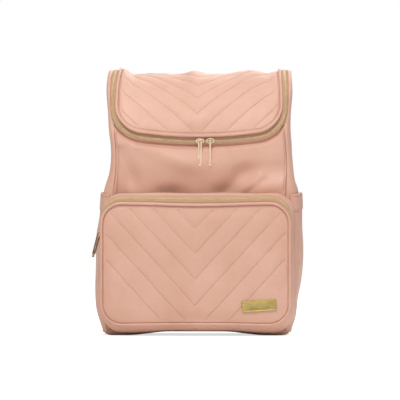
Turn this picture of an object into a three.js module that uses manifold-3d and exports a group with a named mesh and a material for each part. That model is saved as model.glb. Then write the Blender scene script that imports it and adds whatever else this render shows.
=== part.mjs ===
// A backpack-style diaper bag: a soft box of sewn panels under a domed, zipped lid, with a zipped
// front pocket, two elastic side pockets, padded shoulder straps, a haul handle and a trolley sleeve.
// Millimetres, +Z up, the front faces -Y. The origin is the centre of the flat base.
import * as THREE from "three";
import { mergeVertices } from "three/addons/utils/BufferGeometryUtils.js";
import Module from "manifold-3d";

const wasm = await Module();
wasm.setup();

// ---------------------------------------------------------------- driving dimensions

const GAP = 0.3; // clearance between neighbouring pieces
const WALL = 3; // coated fabric and its foam backing

const HEIGHT = 398; // base to the top of the lid
const FRONT = -62; // front wall of the main compartment
const BACK = 62; // back wall
const DOME_BASE = 280; // level where the front wall starts to curve back into the lid
const HINGE_Y = 48; // the lid's rear seam, where it folds
const EDGE_RADIUS = 14; // rounding of the upright edges
const TOP_RADIUS = 12; // rounding along the top of the sides and back
const BASE_RADIUS = 10; // rounding around the base
const BASE_RIM = 8; // level where the base panel meets the walls
const SEAM_X = 128; // upright seams between the front, back and side panels
// Half the bag's width at each level: [level, half width].
const WIDTHS = [
  [0, 143], [60, 145.5], [120, 145.5], [200, 144], [228, 142],
  [252, 137.5], [270, 135.5], [300, 138], [330, 139], [HEIGHT, 139],
];

const ZIP_X = 130; // the lid zip's straight sides
const ZIP_LOW = 289; // lowest point of the lid zip
const ZIP_ARC = 650; // radius of its lower run
const ZIP_CORNER = 42; // radius of its corners
const TAPE_HALF = 5.5; // one side of a zip: its tape
const CHAIN_HALF = 2.5; // and its row of teeth
const PIPING_RADIUS = 1.9;

const POCKET_FRONT = -98; // front face of the front pocket
const POCKET_ZIP_Y = -89.15; // line where the pocket zip's two sides meet
const POCKET_TAPE = 4.6; // how far each side of the pocket zip reaches from that line
const FLAP_Z = 111; // line where the pocket's panel folds when it is unzipped
// The pocket's outline where it joins the bag, at its shoulder and at its front face.
const POCKET_REAR = { y: FRONT, half: 141.5, bottom: 6, top: 213 };
const POCKET_SHOULDER = { y: -84, half: 141.5, bottom: 6, top: 213 };
const POCKET_FACE = { y: POCKET_FRONT, half: 138.5, bottom: 10, top: 198 };
const POCKET_CORNER = 31;
const POCKET_LINING = { half: 138, bottom: 10, top: 208, thickness: 1 };
const POCKET_SLIDER_Z = 151;
const POCKET_PULL_TILT = 12; // the pull leans out over the swollen side of the bag, degrees

// An oval slider: its plate, and the bar that stands off it on two posts and carries the pull.
const SLIDER = {
  length: 12.5, height: 9.4, plate: 1.4, barRadius: 0.7, barHeight: 3.4, post: 1.1, span: 6.6,
};
// A flat pull with an eye at its top and a long slot down to its solid end.
const PULL = { length: 38.5, width: 5.8, thickness: 2, rim: 1.1, slotTop: 6.2, solidEnd: 7 };
// The lid's sliders: name, place along the zip, and how far the pull is twisted, in degrees.
const LID_SLIDERS = [["left", 2.3, 34], ["right", 17.4, 8]];
const NAME_PLATE = { width: 51, height: 16.5, thickness: 1.3, corner: 1.6, x: 90.7, z: 45.5, tilt: 4.2 };

// Flat pieces inside the main compartment.
const PADDING = { half: 122, bottom: 14, top: 368, corner: 20, thickness: 5.6 };
const BOARD = { half: 122, inset: 14, top: 7, corner: 8 };
const DIVIDER = { half: 121, bottom: 12, top: 268, corner: 12, thickness: 5 };
const SLIP_POCKET = { half: 116, bottom: 14, top: 150, corner: 10, clear: 9.6, thickness: 1.4 };

const SIDE_POCKET = { bottom: 20, hem: 187, top: 213, front: -50, back: 46, wall: 1.6, hemWall: 2 };

const STRAP = { topX: 62, lowX: 93, width: 58, topWidth: 36, thickness: 9, y: 71 };
const WEBBING = { width: 25, thickness: 1.6, topZ: 164.5, lowX: 112, lowZ: 48, y: 70 };
const ANCHOR = { bottom: 16, top: 46, outer: 20, inner: 14, half: 16 };
const YOKE = { half: 104, bottom: 348, top: 381, corner: 8, thickness: 2.4 };
const ADJUSTER = { width: 33, height: 20, bar: 3.2, thickness: 1.8, z: 128 };
const HANDLE = { y: 71, z: 368, half: 30, drop: 48, width: 15, thickness: 6 };
const HANDLE_TAB = { half: 10, below: 12, above: 10 };
const SLEEVE = { half: 112, bottom: 92, top: 208, corner: 6, thickness: 1.6, y: BACK + 1.6 };

// ---------------------------------------------------------------- materials

const material = (color, roughness, metalness = 0) =>
  new THREE.MeshStandardMaterial({ color, roughness, metalness });
const leather = material("#dca98f", 0.55);
const leatherEdge = material("#d49d84", 0.5);
const lining = material("#cdb08c", 0.85);
const tape = material("#c9a57e", 0.7);
const webbing = material("#cf9c84", 0.8);
const foam = material("#e9e4da", 0.9);
const gold = material("#d8b878", 0.3, 1);
const plateGold = material("#c0a868", 0.35, 1);

// ---------------------------------------------------------------- geometry helpers

// A closed three.js geometry as a solid that can be joined and cut.
function solid(geometry) {
  const bare = new THREE.BufferGeometry().setAttribute("position", geometry.getAttribute("position"));
  bare.setIndex(geometry.getIndex());
  const merged = mergeVertices(bare, 1e-4);
  return new wasm.Manifold(
    new wasm.Mesh({
      numProp: 3,
      vertProperties: merged.getAttribute("position").array,
      triVerts: new Uint32Array(merged.getIndex().array),
    }),
  );
}

// A solid back as a three.js geometry.
function geometryOf(shape) {
  const mesh = shape.getMesh();
  const geometry = new THREE.BufferGeometry();
  geometry.setAttribute("position", new THREE.BufferAttribute(mesh.vertProperties, 3));
  geometry.setIndex(new THREE.BufferAttribute(mesh.triVerts, 1));
  return geometry;
}

// The block between two corners.
function block(low, high) {
  const size = high.map((value, i) => value - low[i]);
  const centre = high.map((value, i) => (value + low[i]) / 2);
  return solid(new THREE.BoxGeometry(...size).translate(...centre));
}

const FAR = 600;
const slabX = (from, to) => block([from, -FAR, -FAR], [to, FAR, FAR]);
const slabY = (from, to) => block([-FAR, from, -FAR], [FAR, to, FAR]);
const slabZ = (from, to) => block([-FAR, -FAR, from], [FAR, FAR, to]);

// A closed skin over rings of equal length, each counter-clockwise seen from the next ring's side.
function loft(rings) {
  const count = rings[0].length;
  const positions = rings.flat().flatMap((point) => [point.x, point.y, point.z]);
  const faces = [];
  for (let i = 0; i + 1 < rings.length; i++) {
    for (let j = 0; j < count; j++) {
      const a = i * count + j;
      const b = i * count + ((j + 1) % count);
      faces.push(a, b, b + count, a, b + count, a + count);
    }
  }
  const last = (rings.length - 1) * count;
  for (let j = 1; j + 1 < count; j++) {
    faces.push(0, j + 1, j);
    faces.push(last, last + j, last + j + 1);
  }
  const geometry = new THREE.BufferGeometry();
  geometry.setAttribute("position", new THREE.Float32BufferAttribute(positions, 3));
  return geometry.setIndex(faces);
}

// A rounded rectangle in the XY plane at height z, counter-clockwise.
function roundedRing(left, right, low, high, radius, z, steps = 3) {
  const r = Math.min(radius, (right - left) / 2.01, (high - low) / 2.01);
  const centres = [[right - r, high - r], [left + r, high - r], [left + r, low + r], [right - r, low + r]];
  return centres.flatMap(([x, y], corner) =>
    Array.from({ length: steps + 1 }, (_, i) => {
      const angle = (corner + i / steps) * (Math.PI / 2);
      return new THREE.Vector3(x + r * Math.cos(angle), y + r * Math.sin(angle), z);
    }),
  );
}

// A rounded rectangle as a flat outline of [x, z] points.
const roundedOutline = (left, right, low, high, radius) =>
  roundedRing(left, right, low, high, radius, 0).map((point) => [point.x, point.y]);

// A flat outline in X and Z, extruded along Y from back to front.
function extrudeForward(points, back, front) {
  const shape = new THREE.Shape(points.map(([x, z]) => new THREE.Vector2(x, z)));
  const geometry = new THREE.ExtrudeGeometry(shape, { depth: back - front, bevelEnabled: false });
  return geometry.rotateX(Math.PI / 2).translate(0, back, 0);
}

// A round cord along a list of points.
function cord(points, radius, steps) {
  const circle = new THREE.Shape(new THREE.Path().absarc(0, 0, radius, 0, 2 * Math.PI).getPoints(4));
  const path = new THREE.CatmullRomCurve3(points.map((point) => new THREE.Vector3(...point)));
  return new THREE.ExtrudeGeometry(circle, { steps, bevelEnabled: false, extrudePath: path });
}

// A flat band along a path in a plane of constant slope: width lies along X, thickness across the path.
function band(stations, thickness) {
  const rings = stations.map(([x, y, z, width], i) => {
    const before = stations[Math.max(i - 1, 0)];
    const after = stations[Math.min(i + 1, stations.length - 1)];
    const start = new THREE.Vector3(...before.slice(0, 3));
    const along = new THREE.Vector3(...after.slice(0, 3)).sub(start).normalize();
    const across = new THREE.Vector3(1, 0, 0).addScaledVector(along, -along.x).normalize();
    const normal = new THREE.Vector3().crossVectors(along, across);
    const flat = roundedRing(-width / 2, width / 2, -thickness / 2, thickness / 2, thickness / 3, 0, 1);
    return flat.map((point) =>
      new THREE.Vector3(x, y, z).addScaledVector(across, point.x).addScaledVector(normal, point.y),
    );
  });
  return loft(rings);
}

// Smooth interpolation through [position, value] pairs.
function between(table, position) {
  const next = Math.max(1, table.findIndex(([at]) => at >= position));
  const [x0, v0] = table[next - 1];
  const [x1, v1] = table[next];
  const share = THREE.MathUtils.smoothstep(position, x0, x1);
  return v0 + (v1 - v0) * share;
}

const SIDES = [["left", -1], ["right", 1]];
const root = new THREE.Group();

function add(name, geometry, look, parent = root) {
  const mesh = new THREE.Mesh(geometry, look);
  mesh.name = name;
  parent.add(mesh);
  return mesh;
}

// ---------------------------------------------------------------- the bag's body

// How far the side and back surfaces fall in at level z, for a skin `inset` under the outer surface.
function fall(z, inset) {
  const top = HEIGHT - TOP_RADIUS;
  if (z <= top) return inset;
  const rise = Math.min(1, (z - top) / (TOP_RADIUS - inset));
  return TOP_RADIUS - (TOP_RADIUS - inset) * Math.sqrt(1 - rise * rise);
}

// The whole outer form of the main compartment and lid, shrunk by `inset`.
function bagForm(inset) {
  const rings = [];
  const level = (z, front, pull) => {
    const half = between(WIDTHS, z) - fall(z, inset) - pull;
    const back = BACK - fall(z, inset) - pull;
    rings.push(roundedRing(-half, half, front + pull, back, EDGE_RADIUS - inset, z));
  };
  const baseRadius = BASE_RADIUS - inset;
  for (const turn of [90, 60, 30, 0]) {
    const angle = THREE.MathUtils.degToRad(turn);
    const z = inset + baseRadius * (1 - Math.sin(angle));
    level(z, FRONT + inset, baseRadius * (1 - Math.cos(angle)));
  }
  for (const z of [60, 120, 170, 200, 214, 228, 240, 252, 262, DOME_BASE]) level(z, FRONT + inset, 0);
  const depth = HINGE_Y - FRONT - inset;
  const rise = HEIGHT - DOME_BASE - inset;
  const steps = 12;
  for (let i = 1; i <= steps; i++) {
    const angle = (i / steps) * (Math.PI / 2);
    level(DOME_BASE + rise * Math.sin(angle), HINGE_Y - depth * Math.cos(angle), 0);
  }
  return solid(loft(rings));
}

const bagShell = (outer, inner) => bagForm(outer).subtract(bagForm(inner));

// The lid zip's line in the front view, moved outwards by `offset`: down one side, along the shallow
// lower arc and up the other side, as [x, z] points.
function zipLine(offset, top = HEIGHT + 60) {
  const cornerX = ZIP_X - ZIP_CORNER;
  const arcZ = ZIP_LOW + ZIP_ARC;
  const cornerZ = arcZ - Math.sqrt((ZIP_ARC - ZIP_CORNER) ** 2 - cornerX ** 2);
  const tilt = Math.atan2(cornerX, arcZ - cornerZ);
  const half = [[0, ZIP_LOW - offset]];
  const arcSteps = 5;
  for (let i = 1; i <= arcSteps; i++) {
    const angle = (tilt * i) / arcSteps;
    const radius = ZIP_ARC + offset;
    half.push([radius * Math.sin(angle), arcZ - radius * Math.cos(angle)]);
  }
  const cornerSteps = 7;
  for (let i = 1; i <= cornerSteps; i++) {
    const angle = tilt + ((Math.PI / 2 - tilt) * i) / cornerSteps;
    const radius = ZIP_CORNER + offset;
    half.push([cornerX + radius * Math.sin(angle), cornerZ - radius * Math.cos(angle)]);
  }
  half.push([ZIP_X + offset, top]);
  const mirrored = half.slice(1).reverse().map(([x, z]) => [-x, z]);
  return [...mirrored, ...half];
}

// Everything inside the zip line, from the rear seam forward.
const insideZip = (offset, rear = HINGE_Y - GAP) => solid(extrudeForward(zipLine(offset), rear, -FAR));

// A strip beside the zip line, between two offsets.
const zipStrip = (from, to, rear) => insideZip(to, rear).subtract(insideZip(from, rear));

const walls = bagShell(0, WALL);
const lidCut = insideZip(TAPE_HALF + GAP, HINGE_Y + GAP);
const aboveBase = slabZ(BASE_RIM + GAP, FAR);
const middle = slabX(-SEAM_X, SEAM_X);

function bodyPanels() {
  const open = walls.intersect(aboveBase).subtract(lidCut);
  add("front_panel", geometryOf(open.intersect(middle).intersect(slabY(-FAR, 0))), leather);
  add("back_panel", geometryOf(open.intersect(middle).intersect(slabY(0, FAR))), leather);
  add("side_panel_left", geometryOf(open.intersect(slabX(-FAR, -SEAM_X - GAP))), leather);
  add("side_panel_right", geometryOf(open.intersect(slabX(SEAM_X + GAP, FAR))), leather);
  add("base_panel", geometryOf(walls.intersect(slabZ(-FAR, BASE_RIM))), leather);
}

// ---------------------------------------------------------------- inside the main compartment

const FOAM_BACK = BACK - WALL - GAP; // the back padding, against the back panel
const FOAM_FRONT = FOAM_BACK - PADDING.thickness;

function mainLining() {
  const clearWalls = WALL + 0.5;
  const thickness = 1.2;
  const within = (extra) =>
    block([-FAR, -FAR, BOARD.top + GAP + extra], [FAR, FOAM_FRONT - GAP - extra, FAR]);
  const outer = bagForm(clearWalls).intersect(within(0));
  const inner = bagForm(clearWalls + thickness).intersect(within(thickness));
  const mouth = insideZip(CHAIN_HALF, HINGE_Y + GAP);
  const rim = slabZ(HEIGHT - TOP_RADIUS, FAR);
  add("main_lining", geometryOf(outer.subtract(inner).subtract(mouth).subtract(rim)), lining);
}

// A flat piece standing upright, from `rear` forwards to `front`.
const upright = ({ half, bottom, top, corner }, rear, front) =>
  extrudeForward(roundedOutline(-half, half, bottom, top, corner), rear, front);

function innerBoards() {
  add("back_foam", upright(PADDING, FOAM_BACK, FOAM_FRONT), foam);
  const { half, inset, corner } = BOARD;
  const boardRing = (z) => roundedRing(-half, half, FRONT + inset, BACK - inset, corner, z);
  add("base_board", loft([boardRing(WALL + GAP), boardRing(BOARD.top)]), foam);
  add("laptop_divider", upright(DIVIDER, HINGE_Y, HINGE_Y - DIVIDER.thickness), lining);
  const slipFront = FRONT + SLIP_POCKET.clear;
  add("inner_slip_pocket", upright(SLIP_POCKET, slipFront + SLIP_POCKET.thickness, slipFront), lining);
}

// ---------------------------------------------------------------- the lid and its zip

const TAPE_SKIN = [1.5, 2.7]; // depth of the tapes under the outer surface
const CHAIN_SKIN = [0.2, 3.1]; // depth of the teeth

// The angle round the lid's dome of a point at height z.
const domeAngle = (z) => Math.asin(THREE.MathUtils.clamp((z - DOME_BASE) / (HEIGHT - DOME_BASE), -1, 1));

function onDome(x, z, inset) {
  const angle = domeAngle(z);
  const y = HINGE_Y - (HINGE_Y - FRONT - inset) * Math.cos(angle);
  return [x, y, DOME_BASE + (HEIGHT - DOME_BASE - inset) * Math.sin(angle)];
}

const PIPING_OFFSET = -(TAPE_HALF + GAP + PIPING_RADIUS);
const LID_EDGE = PIPING_OFFSET - PIPING_RADIUS - GAP;
const PIPING_SINK = 0.9; // how far the cord's middle lies under the surface

function lidPiping() {
  const line = zipLine(PIPING_OFFSET).slice(1, -1);
  const [cornerX, cornerZ] = line.at(-1);
  const rise = [];
  const steps = 9;
  const start = domeAngle(cornerZ);
  const end = THREE.MathUtils.degToRad(88);
  for (let i = 1; i <= steps; i++) {
    const angle = start + ((end - start) * i) / steps;
    rise.push([cornerX, DOME_BASE + (HEIGHT - DOME_BASE) * Math.sin(angle)]);
  }
  const fallBack = rise.slice().reverse().map(([x, z]) => [-x, z]);
  const path = [...fallBack, ...line, ...rise].map(([x, z]) => onDome(x, z, PIPING_SINK));
  return cord(path, PIPING_RADIUS, 44);
}

// The two facing halves of the lid zip: a thin tape with a thicker row of teeth along its edge.
function lidZipHalf(side) {
  const near = GAP / 2;
  const order = (a, b) => (side > 0 ? zipStrip(a, b) : zipStrip(-b, -a));
  const flat = bagShell(...TAPE_SKIN).intersect(order(near, TAPE_HALF));
  const teeth = bagShell(...CHAIN_SKIN).intersect(order(near, CHAIN_HALF));
  return geometryOf(flat.add(teeth));
}

function lid() {
  add("lid_panel", geometryOf(walls.intersect(insideZip(LID_EDGE))), leather);
  const liningSkin = bagShell(WALL + GAP, WALL + GAP + 1);
  add("lid_lining", geometryOf(liningSkin.intersect(insideZip(PIPING_OFFSET))), lining);
  add("lid_piping", lidPiping(), leatherEdge);
  add("lid_zip_tape", lidZipHalf(-1), tape);
  add("body_zip_tape", lidZipHalf(1), tape);
}

// ---------------------------------------------------------------- zip sliders and pulls

// A slider's oval plate lies in the XZ plane, `wide` by `high`, with its outer face towards -Y and its
// rear face at y = 0. The bar that carries the pull runs along X and stands off it on two posts.
function sliderGeometry(wide, high) {
  const outline = new THREE.Shape(new THREE.Path().absarc(0, 0, 1, 0, 2 * Math.PI).getPoints(10));
  const plate = new THREE.ExtrudeGeometry(outline, { depth: SLIDER.plate, bevelEnabled: false });
  plate.scale(wide / 2, high / 2, 1).rotateX(Math.PI / 2);
  let body = solid(plate);
  const barY = -SLIDER.plate - SLIDER.barHeight;
  for (const side of [-1, 1]) {
    const x = (side * (SLIDER.span + SLIDER.post)) / 2;
    const half = SLIDER.post / 2;
    body = body.add(block([x - half, barY - SLIDER.barRadius, -1.1], [x + half, -SLIDER.plate + 0.4, 1.1]));
  }
  const bar = new THREE.CylinderGeometry(SLIDER.barRadius, SLIDER.barRadius, SLIDER.span + SLIDER.post, 8);
  return geometryOf(body.add(solid(bar.rotateZ(Math.PI / 2).translate(0, barY, 0))));
}

// A flat, slotted pull hanging from its eye at the origin down to -Z, its flat faces towards X.
function pullGeometry() {
  const { length, width, thickness, rim, slotTop, solidEnd } = PULL;
  const half = width / 2;
  const eyeRadius = half - rim;
  const eyeZ = -0.4;
  const outline = new THREE.Shape();
  outline.absarc(0, eyeZ, half, 0, Math.PI);
  outline.absarc(0, -length + half, half * 0.8, Math.PI, 2 * Math.PI);
  outline.closePath();
  const eye = new THREE.Path().absarc(0, eyeZ, eyeRadius, 0, 2 * Math.PI);
  outline.holes.push(new THREE.Path(eye.getPoints(6)));
  const slot = new THREE.Path();
  slot.absarc(0, -slotTop, eyeRadius * 0.75, 0, Math.PI);
  slot.absarc(0, -length + solidEnd, eyeRadius * 0.6, Math.PI, 2 * Math.PI);
  outline.holes.push(slot);
  const options = { depth: thickness, bevelEnabled: false, curveSegments: 6 };
  const flat = new THREE.ExtrudeGeometry(outline, options);
  return flat.translate(0, 0, -thickness / 2).rotateX(Math.PI / 2).rotateZ(Math.PI / 2);
}

const LID_SLIDER_Y = FRONT - 0.5; // rear face of the lid sliders' plates

function lidSliders() {
  for (const [name, x, twist] of LID_SLIDERS) {
    const angle = Math.asin(x / ZIP_ARC);
    const place = new THREE.Group();
    place.position.set(x, LID_SLIDER_Y, ZIP_LOW + ZIP_ARC * (1 - Math.cos(angle)));
    root.add(place);
    const slider = add(`lid_slider_${name}`, sliderGeometry(SLIDER.length, SLIDER.height), gold, place);
    slider.rotation.y = -angle;
    const pull = add(`lid_pull_${name}`, pullGeometry(), gold, place);
    pull.position.y = -SLIDER.plate - SLIDER.barHeight;
    pull.rotation.z = THREE.MathUtils.degToRad(twist);
  }
}

// ---------------------------------------------------------------- the front pocket

// The pocket's outer form, shrunk by `inset` round its edge, as a solid from the bag to its front face.
function pocketForm(inset) {
  const ring = ({ y, half, bottom, top }) =>
    roundedRing(-half + inset, half - inset, bottom + inset, top - inset, POCKET_CORNER - inset, -y, 6);
  const shape = loft([POCKET_REAR, POCKET_SHOULDER, POCKET_FACE].map(ring));
  return solid(shape.rotateX(Math.PI / 2));
}

const pocketRim = (outer, inner, back, front) =>
  pocketForm(outer).subtract(pocketForm(inner)).intersect(slabY(front, back));

const GUSSET_FRONT = POCKET_ZIP_Y + POCKET_TAPE;
const PANEL_BACK = POCKET_FRONT + 4;
const LINING_FRONT = FRONT - GAP - POCKET_LINING.thickness;
const aboveFold = slabZ(FLAP_Z + GAP, FAR);
const belowFold = slabZ(-FAR, FLAP_Z - GAP);

// The cord round the edge of the pocket's front panel, as one closed solid per side of the fold.
function pocketPiping(radius, upper) {
  const { half, bottom, top } = POCKET_FACE;
  const inset = 1.2;
  const ring = roundedRing(-half + inset, half - inset, bottom + inset, top - inset, POCKET_CORNER, 0, 6);
  const kept = ring.filter((point) => (upper ? point.y > FLAP_Z : point.y < FLAP_Z));
  const fold = FLAP_Z + (upper ? GAP : -GAP);
  const side = half - inset;
  const ends = upper ? [[side, fold], [-side, fold]] : [[-side, fold], [side, fold]];
  const points = [ends[0], ...kept.map((point) => [point.x, point.y]), ends[1]];
  const y = POCKET_FRONT + 0.6;
  return cord(points.map(([x, z]) => [x, y, z]), radius, 32);
}

function pocketZipHalf(side) {
  const near = POCKET_ZIP_Y + (side * GAP) / 2;
  const span = (reach) => (side > 0 ? [near + reach, near] : [near, near - reach]);
  const flat = pocketRim(0.8, 2, ...span(POCKET_TAPE - GAP));
  const teeth = pocketRim(0, 2.6, ...span(CHAIN_HALF));
  return geometryOf(flat.add(teeth).intersect(aboveFold));
}

function frontPocket() {
  const liningShape = { ...POCKET_LINING, corner: POCKET_CORNER - 4 };
  add("pocket_lining", upright(liningShape, FRONT - GAP, LINING_FRONT), lining);
  const rear = pocketRim(0, WALL, LINING_FRONT - GAP, GUSSET_FRONT);
  const lower = pocketRim(0, WALL, GUSSET_FRONT + 0.5, PANEL_BACK + GAP).intersect(belowFold);
  add("pocket_gusset", geometryOf(rear.add(lower)), leather);
  const groove = (upper) => solid(pocketPiping(PIPING_RADIUS + GAP, upper));
  const whole = pocketForm(0).intersect(slabY(POCKET_FRONT - 1, PANEL_BACK));
  const plate = whole.subtract(groove(true)).subtract(groove(false));
  add("pocket_panel_upper", geometryOf(plate.intersect(aboveFold)), leather);
  add("pocket_panel_lower", geometryOf(plate.intersect(belowFold)), leather);
  add("pocket_piping_upper", pocketPiping(PIPING_RADIUS, true), leatherEdge);
  add("pocket_piping_lower", pocketPiping(PIPING_RADIUS, false), leatherEdge);
  add("pocket_zip_tape_body", pocketZipHalf(1), tape);
  add("pocket_zip_tape_flap", pocketZipHalf(-1), tape);
}

function pocketSlider() {
  const place = new THREE.Group();
  const share = (POCKET_ZIP_Y - POCKET_SHOULDER.y) / (POCKET_FRONT - POCKET_SHOULDER.y);
  const half = THREE.MathUtils.lerp(POCKET_SHOULDER.half, POCKET_FACE.half, share);
  place.position.set(-half - 1.2, POCKET_ZIP_Y, POCKET_SLIDER_Z);
  place.rotation.z = -Math.PI / 2;
  root.add(place);
  add("pocket_slider", sliderGeometry(SLIDER.height, SLIDER.length), gold, place);
  const pull = add("pocket_pull", pullGeometry(), gold, place);
  pull.position.y = -SLIDER.plate - SLIDER.barHeight;
  pull.rotation.x = -THREE.MathUtils.degToRad(POCKET_PULL_TILT);
}

// A blank metal plate on the pocket's lower corner.
function namePlate() {
  const { width, height, thickness, corner, x, z, tilt } = NAME_PLATE;
  const ring = roundedOutline(-width / 2, width / 2, -height / 2, height / 2, corner);
  const plate = add("name_plate", extrudeForward(ring, 0, -thickness), plateGold);
  plate.position.set(x, POCKET_FRONT - GAP, z);
  plate.rotation.y = -THREE.MathUtils.degToRad(tilt);
}

// ---------------------------------------------------------------- side pockets

// How far a side pocket bulges from the side panel at each level.
const BULGE = [[0, 4], [50, 8.4], [110, 9.6], [190, 9.2], [213, 10.2], [260, 10.2]];

function sidePocketForm(z0, z1, outset, inset) {
  const { front, back } = SIDE_POCKET;
  const levels = [z0, z0 + (z1 - z0) * 0.3, z0 + (z1 - z0) * 0.65, z1];
  const rings = levels.map((z) => {
    const wall = between(WIDTHS, z) + GAP;
    const out = wall + between(BULGE, z) + outset;
    return roundedRing(inset ? wall - 20 : wall, out, front + inset, back - inset, 5, z, 2);
  });
  return solid(loft(rings));
}

function sidePockets() {
  const { bottom, hem, top, wall, hemWall } = SIDE_POCKET;
  const outside = slabX(-FAR, FAR).subtract(bagForm(-GAP));
  const step = 0.8; // the hem sits this far in from the pocket's face
  const bagHollow = sidePocketForm(bottom + wall, hem + 5, -wall, wall);
  const bag = sidePocketForm(bottom, hem - GAP, 0, 0).subtract(bagHollow);
  const hemHollow = sidePocketForm(hem - 5, top + 5, -step - hemWall, hemWall);
  const hemShape = sidePocketForm(hem, top, -step, 0).subtract(hemHollow);
  for (const [name, side] of SIDES) {
    add(`side_pocket_${name}`, geometryOf(bag.intersect(outside)), leather).scale.x = side;
    add(`side_pocket_hem_${name}`, geometryOf(hemShape.intersect(outside)), leatherEdge).scale.x = side;
  }
}

// ---------------------------------------------------------------- the back: straps, handle, sleeve

const webbingX = (z) =>
  THREE.MathUtils.mapLinear(z, WEBBING.topZ, WEBBING.lowZ, STRAP.lowX + 3, WEBBING.lowX);

function shoulderStrap(name, side) {
  const { topX, lowX, width, topWidth, thickness, y } = STRAP;
  const x = (z) => side * THREE.MathUtils.mapLinear(z, 380, 170, topX, lowX);
  const start = BACK + YOKE.thickness + GAP + thickness / 2 + 0.2;
  const strap = [
    [x(380), start, 358, topWidth],
    [x(380), start, 380, topWidth],
    [x(380), start + 0.6, 388, topWidth],
    [x(378), start + 5, 393.5, topWidth + 3],
    [x(374), start + 10.2, 388, topWidth + 6],
    [x(366), start + 11, 376, topWidth + 10],
    [x(330), start + 10.4, 340, width],
    [x(280), y + 6, 280, width],
    [x(210), y + 3, 210, width - 4],
    [x(180), y + 1, 180, width - 16],
    [x(170), y, 170, width - 24],
  ];
  add(`shoulder_strap_${name}`, band(strap, thickness), leather);
}

function webbingStrap(name, side) {
  const { width, thickness, topZ, lowZ, y } = WEBBING;
  const stations = [topZ, lowZ].map((z) => [side * webbingX(z), y, z, width]);
  add(`strap_webbing_${name}`, band(stations, thickness), webbing);
}

// A folded tab sewn across the bag's lower back corner, which holds the end of the webbing.
function anchorTab(name, side) {
  const x = side * (WEBBING.lowX + 4);
  const { bottom, top, outer, inner, half } = ANCHOR;
  const corners = [[-outer, bottom], [-half, top], [half, top], [inner, bottom]];
  const points = corners.map(([dx, z]) => [x + side * dx, z]);
  if (side > 0) points.reverse();
  add(`strap_anchor_${name}`, extrudeForward(points, WEBBING.y + 1, BACK + GAP), leatherEdge);
}

// A three-bar slide: two outer bars behind the webbing and one across its outer face.
function adjuster(name, side) {
  const { width, height, bar, thickness, z } = ADJUSTER;
  const clear = WEBBING.thickness / 2 + GAP;
  const [w, h] = [width / 2, height / 2];
  const webHalf = WEBBING.width / 2 + GAP;
  let frame = block([-w, -clear - thickness, -h], [w, -clear, -h + bar]);
  frame = frame.add(block([-w, -clear - thickness, h - bar], [w, -clear, h]));
  for (const end of [-1, 1]) {
    const [from, to] = end > 0 ? [webHalf, w] : [-w, -webHalf];
    frame = frame.add(block([from, -clear - thickness, -h], [to, clear + thickness, h]));
  }
  frame = frame.add(block([-w, clear, -bar / 2], [w, clear + thickness, bar / 2]));
  const mesh = add(`strap_adjuster_${name}`, geometryOf(frame), gold);
  mesh.position.set(side * webbingX(z), WEBBING.y, z);
  const lean = Math.atan2(webbingX(WEBBING.lowZ) - webbingX(WEBBING.topZ), WEBBING.topZ - WEBBING.lowZ);
  mesh.rotation.y = -side * lean;
}

function haulHandle() {
  const { y, z, half, drop, width, thickness } = HANDLE;
  const grip = roundedRing(-half - width / 2, half + width / 2, z - drop, z + width, 14, 0, 4);
  const opening = roundedRing(-half + width / 2, half - width / 2, z - drop + width, z + 2 * width, 8, 0, 4);
  const flatten = (ring) => ring.map((point) => [point.x, point.y]);
  const flat = (ring) => solid(extrudeForward(flatten(ring), y + thickness / 2, y - thickness / 2));
  const legs = flat(grip).subtract(flat(opening)).intersect(slabZ(-FAR, z));
  add("haul_handle", geometryOf(legs), leather);
  const tabFront = y - thickness / 2 - 0.4;
  for (const [name, side] of SIDES) {
    const x = side * half;
    const low = [x - HANDLE_TAB.half, BACK + YOKE.thickness + GAP, z - HANDLE_TAB.below];
    const tab = block(low, [x + HANDLE_TAB.half, tabFront, z + HANDLE_TAB.above]);
    add(`handle_tab_${name}`, geometryOf(tab), leatherEdge);
  }
}

function backPanelParts() {
  add("strap_yoke", upright(YOKE, BACK + GAP + YOKE.thickness - 0.2, BACK + GAP), leatherEdge);
  add("trolley_sleeve", upright(SLEEVE, SLEEVE.y + SLEEVE.thickness, SLEEVE.y), leather);
}

// ---------------------------------------------------------------- assembly

bodyPanels();
mainLining();
innerBoards();
lid();
lidSliders();
frontPocket();
pocketSlider();
namePlate();
sidePockets();
backPanelParts();
haulHandle();
for (const [name, side] of SIDES) {
  shoulderStrap(name, side);
  webbingStrap(name, side);
  anchorTab(name, side);
  adjuster(name, side);
}

export default root;
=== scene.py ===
import math

import bmesh
import bpy
import numpy as np
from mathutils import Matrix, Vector
from mathutils.bvhtree import BVHTree


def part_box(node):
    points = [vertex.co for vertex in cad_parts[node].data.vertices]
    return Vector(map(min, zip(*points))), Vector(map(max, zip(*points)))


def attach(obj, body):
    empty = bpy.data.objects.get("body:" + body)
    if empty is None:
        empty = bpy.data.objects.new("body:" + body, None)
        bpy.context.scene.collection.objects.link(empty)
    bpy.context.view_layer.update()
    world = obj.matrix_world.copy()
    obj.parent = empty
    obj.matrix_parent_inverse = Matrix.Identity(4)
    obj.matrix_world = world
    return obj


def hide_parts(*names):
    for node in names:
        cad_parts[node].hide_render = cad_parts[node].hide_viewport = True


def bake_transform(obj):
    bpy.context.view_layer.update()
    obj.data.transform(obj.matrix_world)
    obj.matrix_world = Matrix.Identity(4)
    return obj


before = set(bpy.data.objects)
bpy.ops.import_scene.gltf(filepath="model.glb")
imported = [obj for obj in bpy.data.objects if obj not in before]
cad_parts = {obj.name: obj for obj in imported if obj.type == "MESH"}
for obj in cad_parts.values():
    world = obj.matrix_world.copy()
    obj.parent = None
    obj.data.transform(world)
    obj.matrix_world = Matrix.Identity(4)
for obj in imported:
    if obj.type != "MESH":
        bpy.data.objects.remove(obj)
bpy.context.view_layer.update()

MM = 0.001
QUARTER = math.pi / 2


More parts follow.
